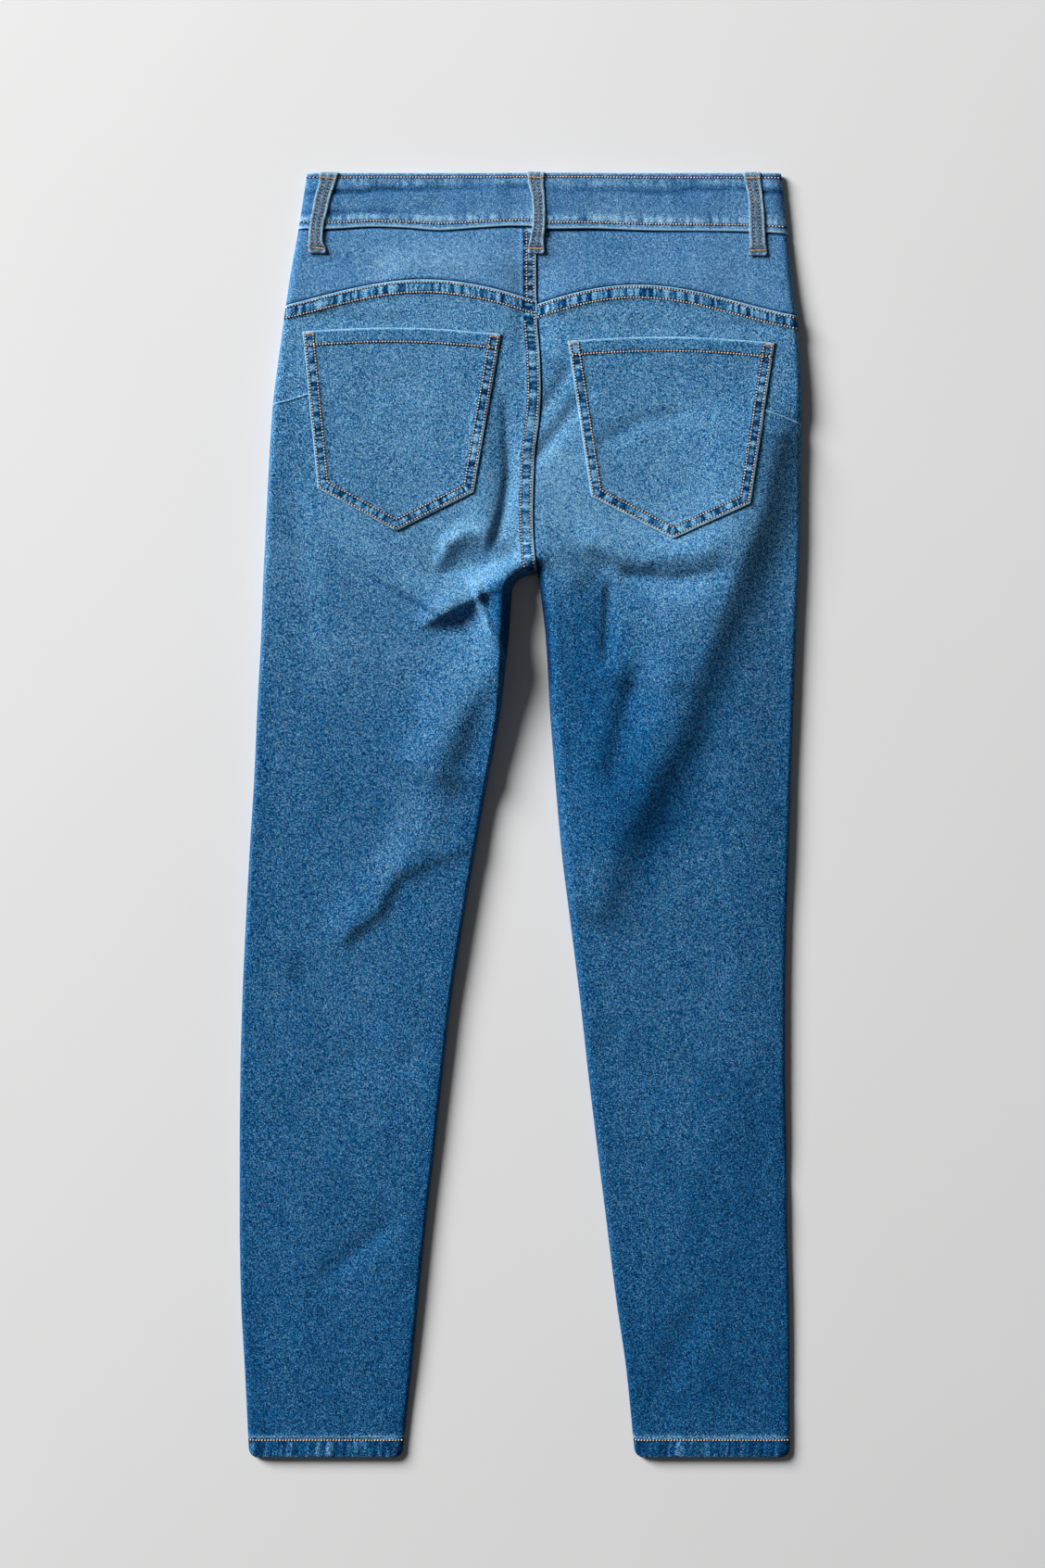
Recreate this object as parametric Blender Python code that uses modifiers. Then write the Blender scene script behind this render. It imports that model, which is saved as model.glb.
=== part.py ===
"""Skinny jeans laid flat on a table with the back side up.

Everything is in metres, +Z up. X runs across the jeans, with the wearer's left at -X, and Y runs
from the hems (-Y) to the waist (+Y). The table is Z = 0, and the origin is the middle of the box
round the jeans, on the table. The front panels lie on the table, the back panels lie on them,
and both meet at the folded side seams and inseams.
"""

import math

import bmesh
import bpy
import numpy as np
from mathutils import Vector

# ---------------------------------------------------------------- driving sizes
CLOTH = 0.0016            # wall of one denim panel
BAND_CLOTH = 0.0022       # waistband and hems: the cloth is folded double
LAP_CLOTH = 0.0016        # waistband ends, pressed together where they lap at the closure
SEAM_GAP = 0.0003         # space left between two pieces that are sewn together
LIFT = 0.00035            # space under a piece that lies on another
POCKET_CLOTH = 0.0014
ALLOWANCE = 0.0012        # height of a seam turning that is stitched down flat
ALLOWANCE_WIDTH = 0.009

EDGE_HEIGHT = 0.0030      # the folded sides: front and back panels meet this far above the table
TOP_ROLL = 0.0090         # how far in from the side the upper layer takes to reach its height
UNDER_ROLL = 0.0050       # the same for the lower layer
LEAST_HEIGHT = 0.0047     # the two layers can't be pressed flatter than this
STEEPEST = 1.25           # a sloping wall is at most this much deeper, measured upright

WAIST_TOP = 0.4850
HEM_TOP = -0.4700
HEM_BOTTOM = -0.4850
CROTCH_Y = 0.1830
FRONT_CLOSURE_X = 0.0120
LAP = 0.0300              # how far the outer waistband end passes the closure
LAP_FADE = 0.0250         # the band is pressed thin this far before the lap
BAND_TOP = 0.0072         # height of the waistband's back
LAP_SWELL = 0.0014        # the back of the band stands this much higher over the lap
BUTTON_RADIUS = 0.0085
BUTTON_HEIGHT = 0.0018
BUTTON_STEPS = 20
BUTTON_AT = (FRONT_CLOSURE_X + 0.5 * LAP, 0.4640)

LOOP_WIDTH = 0.0126
LOOP_CLOTH = 0.0018
LOOP_SLACK = 0.0016       # a loop stands this much further off in its middle
# Across a loop, in half widths, and along it, as shares of its length
LOOP_COLUMNS = [-1.0, -0.86, 0.0, 0.86, 1.0]
LOOP_ROWS = [0.0, 0.06, 0.12, 0.25, 0.5, 0.72, 0.82, 0.92, 0.97, 1.0]
LOOP_EDGE = 0.0006        # rounding of its long edges
# The front loops and the button hold the front of the waist evenly off the table: full out to
# PROP_HALF_WIDTH from PROP_MIDDLE and down to PROP_LOW, then fading.
PROP_MIDDLE = 0.0135
PROP_HALF_WIDTH = 0.1140
PROP_FADE_X = 0.0420
PROP_LOW = 0.4190
PROP_FADE_Y = 0.0500

# ---------------------------------------------------------------- the outline, seen from above
# A row for each section across the jeans.
# y, left outer x, right outer x, height of the upper layer between its folds
SIDES = [
    (0.4850, -0.1615, 0.1970, 0.0068),
    (0.4430, -0.1680, 0.2015, 0.0068),
    (0.4060, -0.1745, 0.2050, 0.0074),
    (0.3640, -0.1805, 0.2100, 0.0082),
    (0.3080, -0.1875, 0.2125, 0.0090),
    (0.2520, -0.1910, 0.2120, 0.0096),
    (0.2100, -0.1930, 0.2115, 0.0100),
    (0.1820, -0.1945, 0.2105, 0.0102),
    (0.1400, -0.1960, 0.2085, 0.0100),
    (0.0840, -0.1990, 0.2065, 0.0095),
    (0.0280, -0.2015, 0.2045, 0.0088),
    (-0.0280, -0.2050, 0.2030, 0.0082),
    (-0.0840, -0.2080, 0.2010, 0.0078),
    (-0.1400, -0.2105, 0.2000, 0.0074),
    (-0.1960, -0.2120, 0.2000, 0.0070),
    (-0.2520, -0.2125, 0.2010, 0.0066),
    (-0.3080, -0.2125, 0.2015, 0.0063),
    (-0.3640, -0.2115, 0.2030, 0.0060),
    (-0.4200, -0.2085, 0.2035, 0.0056),
    (-0.4700, -0.2060, 0.2035, 0.0052),
    (-0.4850, -0.2052, 0.2033, 0.0052),
]
# y, left inseam x, right inseam x; the first row is the crotch point, where they meet
INSEAMS = [
    (0.1830, 0.0126, 0.0126),
    (0.1812, 0.0085, 0.0138),
    (0.1790, 0.0045, 0.0146),
    (0.1755, 0.0005, 0.0154),
    (0.1700, -0.0028, 0.0163),
    (0.1600, -0.0058, 0.0175),
    (0.1400, -0.0077, 0.0195),
    (0.1120, -0.0120, 0.0208),
    (0.0840, -0.0145, 0.0218),
    (0.0560, -0.0190, 0.0238),
    (0.0280, -0.0245, 0.0260),
    (-0.0280, -0.0345, 0.0310),
    (-0.0840, -0.0440, 0.0380),
    (-0.1400, -0.0525, 0.0450),
    (-0.1960, -0.0590, 0.0512),
    (-0.2520, -0.0650, 0.0580),
    (-0.3080, -0.0715, 0.0650),
    (-0.3640, -0.0770, 0.0720),
    (-0.4200, -0.0825, 0.0800),
    (-0.4700, -0.0880, 0.0850),
    (-0.4850, -0.0895, 0.0865),
]
# y, x of the seam down the middle of the seat
SEAT_SEAM = [
    (0.4850, 0.0115),
    (0.4430, 0.0120),
    (0.4060, 0.0120),
    (0.3720, 0.0128),
    (0.3450, 0.0148),
    (0.3200, 0.0154),
    (0.2980, 0.0141),
    (0.2710, 0.0108),
    (0.2240, 0.0095),
    (0.2040, 0.0102),
    (0.1830, 0.0126),
]

# ---------------------------------------------------------------- lines across a panel
# Each line runs from the side seam to the middle: y there, y at the middle, how far it bows up
# between them. SKEW says how far along a side's lines have their highest point.
SKEW = {"left": 1.1, "right": 1.25}
WAIST_LINE = {"left": (0.4428, 0.4440, 0.0), "right": (0.4387, 0.4437, 0.0)}
YOKE_LINE = {"left": (0.3850, 0.3885, 0.0175), "right": (0.3770, 0.3860, 0.0180)}
# The lines of a back leg below the yoke seam: y at the side, y at the middle or inseam, bow, and
# how many rows of cloth lie above the line.
LEG_LINES = [
    (0.3000, 0.3000, 0.0040, 5),
    (0.2180, 0.2080, 0.0000, 6),
    (0.1960, 0.1935, 0.0000, 3),
    (0.1885, 0.1860, 0.0000, 2),
    (0.1855, 0.1830, 0.0000, 1),
    (0.1825, 0.1812, 0.0000, 1),
    (0.1785, 0.1790, 0.0000, 1),
    (0.1740, 0.1755, 0.0000, 1),
    (0.1670, 0.1700, 0.0000, 1),
    (0.1560, 0.1600, 0.0000, 1),
    (0.1300, 0.1400, 0.0000, 2),
    (-0.0950, -0.0950, 0.0000, 15),
    (HEM_TOP, HEM_TOP, 0.0000, 18),
]
POCKET_LINES = 3          # the pocket ends above this many of those lines
CROTCH_LINES = 4          # and the seat seam's turning above this many
YOKE_BAND_Y = 0.4222      # the turning of the seat seam starts here, just below the middle loop
# The same for a front leg, which starts at the waistband and shows no folds.
FRONT_LINES = [
    (0.4190, 0.4190, 0.0, 2),
    (0.3690, 0.3690, 0.0, 2),
    (0.3000, 0.3000, 0.0, 3),
    (0.2000, 0.1950, 0.0, 3),
    (0.1860, 0.1830, 0.0, 1),
    (0.1765, 0.1790, 0.0, 1),
    (0.1620, 0.1700, 0.0, 1),
    (0.1280, 0.1400, 0.0, 1),
    (HEM_TOP, HEM_TOP, 0.0, 14),
]
# How far in from a panel's edges its first points are, and how many steps lie between them
BACK_EDGE = [0.0, 0.0008, 0.0034, 0.0090]
BACK_MIDDLE = 10
MIDDLE_SKEW = 1.25        # those steps get shorter towards the middle of the jeans
FRONT_EDGE = [0.0, 0.0010, 0.0050]
FRONT_MIDDLE = 5

# ---------------------------------------------------------------- folds of the upper layer
# name, path in x and y, rise (negative is a trough), reach to the left of the path, reach to
# its right, both seen walking along the path
FOLDS = [
    ("right thigh, long", [(0.190, 0.290), (0.160, 0.178), (0.118, 0.066), (0.082, -0.014), (0.056, -0.086)],
     0.0034, 0.016, 0.042),
    ("left thigh, inner", [(-0.016, 0.126), (-0.043, 0.088), (-0.070, 0.045), (-0.086, 0.004)],
     0.0050, 0.011, 0.022),
    ("left crotch, upper", [(0.000, 0.203), (-0.030, 0.213), (-0.062, 0.209)],
     0.0026, 0.008, 0.010),
    ("left crotch, trough", [(-0.008, 0.198), (-0.050, 0.192)],
     -0.0024, 0.007, 0.006),
    ("left crotch, lower", [(-0.003, 0.194), (-0.019, 0.180), (-0.044, 0.167), (-0.062, 0.156)],
     0.0070, 0.006, 0.013),
    ("left inner thigh, falling away", [(-0.003, 0.168), (-0.011, 0.140), (-0.015, 0.112)],
     -0.0036, 0.012, 0.006),
    ("left crotch, corner", [(-0.060, 0.157), (-0.086, 0.174), (-0.110, 0.190), (-0.136, 0.207)],
     0.0034, 0.006, 0.022),
    ("left inner thigh, pinch", [(-0.031, 0.170), (-0.022, 0.150), (-0.014, 0.128)],
     0.0040, 0.006, 0.008),
    ("seat, beside the seam", [(-0.0095, 0.312), (-0.0095, 0.252), (-0.0165, 0.208)],
     -0.0028, 0.007, 0.005),
    ("seat, left ridge", [(-0.024, 0.300), (-0.026, 0.224)],
     0.0018, 0.009, 0.010),
    ("seat, right drag 1", [(0.034, 0.331), (0.018, 0.305)],
     -0.0020, 0.006, 0.006),
    ("seat, right drag 2", [(0.030, 0.300), (0.015, 0.272)],
     -0.0020, 0.006, 0.006),
    ("seat, middle hollow", [(0.010, 0.404), (0.011, 0.362)],
     -0.0022, 0.014, 0.014),
    ("right crotch, arch", [(0.014, 0.194), (0.026, 0.189), (0.037, 0.179)],
     0.0050, 0.014, 0.006),
    ("right seat, ridge", [(0.050, 0.208), (0.096, 0.194), (0.142, 0.198)],
     0.0022, 0.012, 0.008),
    ("right seat, trough", [(0.044, 0.195), (0.090, 0.180), (0.146, 0.184)],
     -0.0026, 0.010, 0.010),
    ("right thigh, upper", [(0.063, 0.176), (0.062, 0.124)],
     -0.0022, 0.006, 0.005),
    ("right thigh, lower", [(0.074, 0.096), (0.065, 0.034)],
     -0.0018, 0.012, 0.010),
    ("left knee", [(-0.052, -0.018), (-0.078, -0.038), (-0.101, -0.045), (-0.113, -0.070), (-0.133, -0.084)],
     0.0040, 0.007, 0.018),
    ("left shin, upper", [(-0.162, -0.118), (-0.112, -0.160)],
     -0.0014, 0.012, 0.012),
    ("left shin, middle", [(-0.126, -0.184), (-0.090, -0.187)],
     -0.0014, 0.010, 0.010),
    ("left calf", [(-0.143, -0.344), (-0.105, -0.313)],
     -0.0012, 0.008, 0.008),
    ("right ankle", [(0.134, -0.372), (0.112, -0.421)],
     -0.0010, 0.012, 0.012),
]
HEM_HEIGHT = 0.0058
# y and how far the hem's ends are drawn in there
HEM_ROWS = [(HEM_TOP - SEAM_GAP / 2, 0.0), (-0.4785, 0.0), (-0.4825, 0.0012), (HEM_BOTTOM, 0.0042)]
HEM_THINS = 0.15          # the hem gets this much lower for each metre it is drawn in
ROLL_ANGLES = [-90, -50, -15, 15, 45, 70, 90]    # degrees round a folded side of a ring

FOLD_END = 0.012          # how far a fold takes to die out past the ends of its path

# ---------------------------------------------------------------- pockets and loops
# Corners from the outer top corner round by the point: x, y
POCKETS = {
    "left": [(-0.1646, 0.3649), (-0.0144, 0.3629), (-0.0350, 0.2430), (-0.0937, 0.2136), (-0.1529, 0.2457)],
    "right": [(0.1918, 0.3563), (0.0350, 0.3577), (0.0528, 0.2397), (0.1144, 0.2076), (0.1726, 0.2338)],
}
POCKET_BOW = 0.0040       # the pocket's top edge bows up by this much
POCKET_CORNER = 0.0025    # radius of a sewn corner
# name, x at the top end, x at the bottom end, bottom y
BACK_LOOPS = [
    ("belt_loop_back_left", -0.1440, -0.1540, 0.4240),
    ("belt_loop_back_centre", 0.0112, 0.0112, 0.4235),
    ("belt_loop_back_right", 0.1745, 0.1790, 0.4220),
]
FRONT_LOOPS = [
    ("belt_loop_front_left", -0.0780, -0.0800, 0.4240),
    ("belt_loop_front_right", 0.1050, 0.1070, 0.4240),
]

DENIM = ((0.13, 0.27, 0.47, 1.0), 0.85, 0.0)
BRASS = ((0.45, 0.30, 0.14, 1.0), 0.35, 1.0)
CREASE = math.radians(40)  # edges sharper than this aren't shaded smooth


# ---------------------------------------------------------------- curves and heights
def smooth_curve(knots, values):
    """A curve through the table's points that never overshoots them."""
    order = np.argsort(knots)
    x = np.asarray(knots, float)[order]
    y = np.asarray(values, float)[order]
    step = np.diff(x)
    rate = np.diff(y) / step
    slope = np.empty_like(y)
    slope[0], slope[-1] = rate[0], rate[-1]
    w1, w2 = 2 * step[1:] + step[:-1], step[1:] + 2 * step[:-1]
    same = rate[:-1] * rate[1:] > 0
    safe = np.where(same, rate[:-1] * rate[1:], 1.0)
    slope[1:-1] = np.where(same, (w1 + w2) * safe / (w1 * rate[1:] + w2 * rate[:-1] + (~same)), 0.0)

    def at(query):
        q = np.clip(np.asarray(query, float), x[0], x[-1])
        i = np.clip(np.searchsorted(x, q) - 1, 0, len(step) - 1)
        t = (q - x[i]) / step[i]
        near = (1 + 2 * t) * (1 - t) ** 2 * y[i] + t * (1 - t) ** 2 * step[i] * slope[i]
        far = t * t * (3 - 2 * t) * y[i + 1] + t * t * (t - 1) * step[i] * slope[i + 1]
        return near + far

    return at


def column(table, index):
    return smooth_curve([row[0] for row in table], [row[index] for row in table])


OUTER = {"left": column(SIDES, 1), "right": column(SIDES, 2)}
BASE_HEIGHT = column(SIDES, 3)
INSEAM = {"left": column(INSEAMS, 1), "right": column(INSEAMS, 2)}
SEAT_X = column(SEAT_SEAM, 1)
TOWARDS_MIDDLE = {"left": 1.0, "right": -1.0}


def middle_x(side, y):
    """The inner edge of a leg panel: the seat seam down to the crotch point, then the inseam."""
    y = np.asarray(y, float)
    seat = SEAT_X(y) - TOWARDS_MIDDLE[side] * SEAM_GAP / 2
    return np.where(y >= CROTCH_Y - 1e-9, seat, INSEAM[side](y))


def walks():
    """The folded edges as paths of points, each walked with the cloth on its left."""
    down = np.linspace(WAIST_TOP, HEM_BOTTOM, 140)
    below = np.concatenate([[row[0] for row in INSEAMS[:6]], np.linspace(0.150, HEM_BOTTOM, 90)])
    left_side = np.stack([OUTER["left"](down), down], 1)
    left_inseam = np.stack([INSEAM["left"](below), below], 1)
    right_inseam = np.stack([INSEAM["right"](below), below], 1)
    right_side = np.stack([OUTER["right"](down), down], 1)
    return [left_side, np.concatenate([left_inseam[::-1], right_inseam[1:]]), right_side[::-1]]


def nearest_edge(points):
    """For each point, its distance to the nearest folded edge and the direction away from it."""
    best = np.full(len(points), np.inf)
    away = np.zeros((len(points), 2))
    for path in walks():
        start, run = path[:-1], np.diff(path, axis=0)
        length = np.linalg.norm(run, axis=1)
        left = np.stack([-run[:, 1], run[:, 0]], 1) / length[:, None]
        corner = np.concatenate([left[:1], left[:-1] + left[1:], left[-1:]])
        corner /= np.linalg.norm(corner, axis=1)[:, None]
        offset = points[:, None, :] - start[None]
        t = np.clip((offset * run).sum(2) / length**2, 0, 1)
        distance = np.linalg.norm(offset - t[..., None] * run, axis=2)
        pick = distance.argmin(1)
        rows = np.arange(len(points))
        t = t[rows, pick][:, None]
        direction = corner[pick] * (1 - t) + corner[pick + 1] * t
        closer = distance[rows, pick] < best
        best = np.where(closer, distance[rows, pick], best)
        away[closer] = direction[closer]
    return best, away / np.linalg.norm(away, axis=1)[:, None]


def fold_height(points, path, rise, left_reach, right_reach):
    """One fold: a soft ridge or trough along its path, steeper on the side with the short reach."""
    path = np.asarray(path, float)
    best = np.full(len(points), np.inf)
    height = np.zeros(len(points))
    for start, end in zip(path[:-1], path[1:]):
        run = end - start
        length = np.linalg.norm(run)
        offset = points - start
        along = offset @ run / length
        across = (run[0] * offset[:, 1] - run[1] * offset[:, 0]) / length
        past = np.maximum(np.maximum(-along, along - length), 0.0)
        away = np.hypot(across, past)
        reach = np.where(across > 0, left_reach, right_reach)
        here = rise * np.exp(-((across / reach) ** 2) - (past / FOLD_END) ** 2)
        closer = away < best
        height = np.where(closer, here, height)
        best = np.where(closer, away, best)
    return height


def free_height(points):
    """How high the upper layer stands above the table, away from its folded edges."""
    height = BASE_HEIGHT(points[:, 1])
    for _, path, rise, left_reach, right_reach in FOLDS:
        height = height + fold_height(points, path, rise, left_reach, right_reach)
    return np.maximum(height, LEAST_HEIGHT + underside(points))


def wall_depth(points):
    """The upright depth of the cloth where it slopes."""
    step = 0.001
    east, north = np.array([step, 0.0]), np.array([0.0, step])
    slope_x = (free_height(points + east) - free_height(points - east)) / (2 * step)
    slope_y = (free_height(points + north) - free_height(points - north)) / (2 * step)
    return CLOTH * np.minimum(np.hypot(1.0, np.hypot(slope_x, slope_y)), STEEPEST)


def roll(distance, reach):
    """From 0 at a folded edge to 1 at the reach, as a quarter of an ellipse."""
    return np.sqrt(1 - (1 - np.clip(distance / reach, 0, 1)) ** 2)


def bump(distance, flat, fade):
    """1 up to flat, then smoothly down to 0 over fade."""
    t = np.clip((np.asarray(distance) - flat) / fade, 0, 1)
    return 1 - t * t * (3 - 2 * t)


def underside(points):
    """How far the lower layer is held off the table at the waist, over the button and the front
    belt loops. It comes down to the table at the side seams and below the loops."""
    across = bump(np.abs(points[:, 0] - PROP_MIDDLE), PROP_HALF_WIDTH, PROP_FADE_X)
    down = bump(PROP_LOW - points[:, 1], 0.0, PROP_FADE_Y)
    return (LOOP_CLOTH + SEAM_GAP) * across * down


# ---------------------------------------------------------------- the two layers
def upper_layer(plan):
    """Outer and inner points of the upper layer over a grid of x and y."""
    points = plan.reshape(-1, 2)
    distance, away = nearest_edge(points)
    share = roll(distance, TOP_ROLL)
    foot = EDGE_HEIGHT + SEAM_GAP / 2
    top = free_height(points)
    outer = np.column_stack([points, foot + share * (top - foot)])
    inset = CLOTH * (1 - np.clip(distance / TOP_ROLL, 0, 1))
    depth = wall_depth(points)
    inner = np.column_stack([points + away * inset[:, None], foot + share * (top - depth - foot)])
    return outer.reshape(*plan.shape[:2], 3), inner.reshape(*plan.shape[:2], 3)


def lower_layer(plan):
    """The same for the lower layer: its outer points lie on the table."""
    points = plan.reshape(-1, 2)
    distance, away = nearest_edge(points)
    share = roll(distance, UNDER_ROLL)
    foot = EDGE_HEIGHT - SEAM_GAP / 2
    low = underside(points)
    outer = np.column_stack([points, foot + share * (low - foot)])
    inset = CLOTH * (1 - np.clip(distance / UNDER_ROLL, 0, 1))
    inner = np.column_stack([points + away * inset[:, None], foot + share * (low + CLOTH - foot)])
    return outer.reshape(*plan.shape[:2], 3), inner.reshape(*plan.shape[:2], 3)


def lines_between(first, table):
    """All the lines of a panel, from its first line down through a table of lines."""
    lines = [tuple(first)]
    for outer_y, middle_y, bow, splits in table:
        above = np.array(lines[-1])
        for k in range(1, splits + 1):
            lines.append(tuple(above + (np.array([outer_y, middle_y, bow]) - above) * k / splits))
    return lines


def panel_plan(side, lines, edge, middle):
    """x and y of a panel's points: a row for each line, closely spaced near both ends."""
    rows = []
    for outer_y, middle_y, bow in lines:
        outer_x, inner_x = OUTER[side](outer_y), middle_x(side, middle_y)
        width = abs(inner_x - outer_x)
        between = 1 - (1 - np.linspace(0, 1, middle + 1)[1:-1]) ** MIDDLE_SKEW
        between = edge[-1] + (width - 2 * edge[-1]) * between
        station = np.concatenate([edge, between, width - np.array(edge[::-1])])
        share = station / width
        y = outer_y + (middle_y - outer_y) * share + bow * np.sin(math.pi * share ** SKEW[side])
        rows.append(np.column_stack([outer_x + TOWARDS_MIDDLE[side] * station, y]))
    return np.array(rows)


def moved_line(line, by):
    return line[0] + by, line[1] + by, line[2]


# ---------------------------------------------------------------- meshes
def material(name, look):
    found = bpy.data.materials.get(name)
    if found:
        return found
    made = bpy.data.materials.new(name)
    made.use_nodes = True
    shader = made.node_tree.nodes["Principled BSDF"]
    colour, roughness, metallic = look
    shader.inputs["Base Color"].default_value = colour
    shader.inputs["Roughness"].default_value = roughness
    shader.inputs["Metallic"].default_value = metallic
    made.diffuse_color = colour
    return made


def add_object(name, bm, look=("denim", DENIM), collection=None):
    bmesh.ops.recalc_face_normals(bm, faces=bm.faces)
    mesh = bpy.data.meshes.new(name)
    bm.to_mesh(mesh)
    bm.free()
    mesh.materials.append(material(*look))
    mesh.shade_smooth()
    mesh.set_sharp_from_angle(angle=CREASE)
    obj = bpy.data.objects.new(name, mesh)
    (collection or JEANS).objects.link(obj)
    return obj


def wall(name, outer, inner, closed=False):
    """A wall of cloth between two grids of points, closed round its rim. With closed, each row
    is a ring. It is a loft made by hand, because the rims of two pieces that meet at a seam have
    to stay parallel, and the wall of a ring changes its thickness along the way."""
    rows, columns = outer.shape[:2]
    bm = bmesh.new()
    sides = [[[bm.verts.new(p) for p in row] for row in grid] for grid in (outer, inner)]
    last = columns if closed else columns - 1
    for grid in sides:
        for i in range(rows - 1):
            for j in range(last):
                a, b = grid[i][j], grid[i + 1][j]
                c, d = grid[i + 1][(j + 1) % columns], grid[i][(j + 1) % columns]
                bm.faces.new((a, b, c))
                bm.faces.new((a, c, d))
    rim = []
    for i in (0, rows - 1):
        rim += [((i, j), (i, (j + 1) % columns)) for j in range(last)]
    if not closed:
        for j in (0, columns - 1):
            rim += [((i, j), (i + 1, j)) for i in range(rows - 1)]
    for (i, j), (k, m) in rim:
        a, b = sides[0][i][j], sides[0][k][m]
        c, d = sides[1][k][m], sides[1][i][j]
        bm.faces.new((a, b, c))
        bm.faces.new((a, c, d))
    return add_object(name, bm)


def grid_normals(grid):
    along = np.gradient(grid, axis=0)
    across = np.gradient(grid, axis=1)
    normal = np.cross(along, across)
    normal /= np.linalg.norm(normal, axis=2)[..., None]
    return normal * np.sign(normal[..., 2:3] + 1e-9)


def laid_on(name, grid, thickness):
    """A piece that lies on a panel: the panel's own points, moved out."""
    out = grid_normals(grid)
    return wall(name, grid + out * (LIFT + thickness), grid + out * LIFT)


# ---------------------------------------------------------------- pieces
def back_panels(side):
    """The back leg and the yoke above it, with the yoke seam's turning stitched down on the leg.
    Each returned grid starts with the row where the seat seam's turning starts."""
    yoke_lines = lines_between(
        moved_line(WAIST_LINE[side], -SEAM_GAP / 2),
        [(YOKE_BAND_Y, YOKE_BAND_Y, 0.0, 1), (*moved_line(YOKE_LINE[side], SEAM_GAP / 2), 3)],
    )
    yoke, lining = upper_layer(panel_plan(side, yoke_lines, BACK_EDGE, BACK_MIDDLE))
    wall(f"back_yoke_{side}", yoke, lining)

    top = moved_line(YOKE_LINE[side], -SEAM_GAP / 2)
    turning = moved_line(top, -ALLOWANCE_WIDTH)
    leg_lines = [top, turning, *lines_between(moved_line(turning, -SEAM_GAP), LEG_LINES)]
    leg, inside = upper_layer(panel_plan(side, leg_lines, BACK_EDGE, BACK_MIDDLE))
    wall(f"back_leg_{side}", leg, inside)
    laid_on(f"yoke_seam_{side}", leg[:2, len(BACK_EDGE) - 1:], ALLOWANCE)
    return yoke[1:], leg[2:]


def rows_above(line):
    """How many rows of the back leg's grid lie above this line of LEG_LINES, with its own."""
    return 1 + sum(splits for _, _, _, splits in LEG_LINES[:line])


def seat_seam(yoke, leg):
    """The turning of the seat seam is stitched down on the left panels, to just above the crotch."""
    strip = slice(-len(BACK_EDGE), None)
    laid_on("seat_seam_yoke", yoke[:, strip], ALLOWANCE)
    laid_on("seat_seam", leg[: rows_above(CROTCH_LINES), strip], ALLOWANCE)


def front_panel(side):
    lines = lines_between(moved_line(WAIST_LINE[side], -SEAM_GAP / 2), FRONT_LINES)
    wall(f"front_leg_{side}", *lower_layer(panel_plan(side, lines, FRONT_EDGE, FRONT_MIDDLE)))


def pocket_outline(side):
    """The pocket's corners, cut by small arcs, with its top edge bowed up."""
    corners = [Vector(c) for c in POCKETS[side]]
    outline = []
    for k, corner in enumerate(corners):
        to_last = (corners[k - 1] - corner).normalized()
        to_next = (corners[(k + 1) % len(corners)] - corner).normalized()
        start, end = corner + to_last * POCKET_CORNER, corner + to_next * POCKET_CORNER
        for t in (0.0, 0.5, 1.0):
            outline.append((1 - t) ** 2 * start + 2 * t * (1 - t) * corner + t * t * end)
        if k == 0:
            for t in (0.2, 0.4, 0.6, 0.8):
                lift = Vector((0, POCKET_BOW * math.sin(math.pi * t)))
                outline.append(corner.lerp(corners[1], t) + lift)
    return outline


def cutter(name, outline, low=0.0, high=0.05):
    """An upright block over an outline."""
    bm = bmesh.new()
    face = bm.faces.new([bm.verts.new((p[0], p[1], low)) for p in outline])
    raised = bmesh.ops.extrude_face_region(bm, geom=[face])
    bmesh.ops.translate(
        bm, vec=(0, 0, high - low), verts=[v for v in raised["geom"] if isinstance(v, bmesh.types.BMVert)]
    )
    obj = add_object(name, bm, collection=CUTTERS)
    obj.hide_render = True
    obj.display_type = "WIRE"
    return obj


def back_pocket(side, leg):
    """A patch pocket: the leg's own surface, moved out and cut to the pocket's outline."""
    flat = slice(len(BACK_EDGE) - 1, 1 - len(BACK_EDGE))
    under = leg[: rows_above(POCKET_LINES), flat]
    pocket = laid_on(f"back_pocket_{side}", under, POCKET_CLOTH)
    cut = pocket.modifiers.new("outline", "BOOLEAN")
    cut.operation = "INTERSECT"
    cut.solver = "EXACT"
    cut.object = cutter(f"cutter_pocket_{side}", pocket_outline(side))


def folded_side(side_x, turn, top, cloth, under_reach, angles):
    """The cloth of a ring where it turns round a folded side, from below to above. Each point
    is outer x, outer z, inner x, inner z, and turn is 1 on the left and -1 on the right."""
    points = []
    for angle in angles:
        c, s = math.cos(math.radians(angle)), math.sin(math.radians(angle))
        reach = under_reach if s < 0 else TOP_ROLL
        rise = EDGE_HEIGHT if s < 0 else top - EDGE_HEIGHT
        outer_x = side_x + turn * reach * (1 - c)
        inner_x = side_x + turn * (cloth + (reach - cloth) * (1 - c))
        points.append((outer_x, EDGE_HEIGHT + rise * s, inner_x, EDGE_HEIGHT + (rise - cloth) * s))
    return points


def hem(side):
    """The turned-up end of a leg: a flattened ring with rounded lower corners."""
    outer, inner = [], []
    for y, drawn_in in HEM_ROWS:
        left_x, right_x = sorted((float(OUTER[side](y)), float(INSEAM[side](y))))
        top = HEM_HEIGHT - HEM_THINS * drawn_in
        left = folded_side(left_x + drawn_in, 1.0, top, BAND_CLOTH, TOP_ROLL, ROLL_ANGLES)
        right = folded_side(right_x - drawn_in, -1.0, top, BAND_CLOTH, TOP_ROLL, ROLL_ANGLES)
        ring = left + right[::-1]
        outer.append([(x, y, z) for x, z, _, _ in ring])
        inner.append([(x, y, z) for _, _, x, z in ring])
    wall(f"hem_{side}", np.array(outer), np.array(inner), closed=True)


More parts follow.
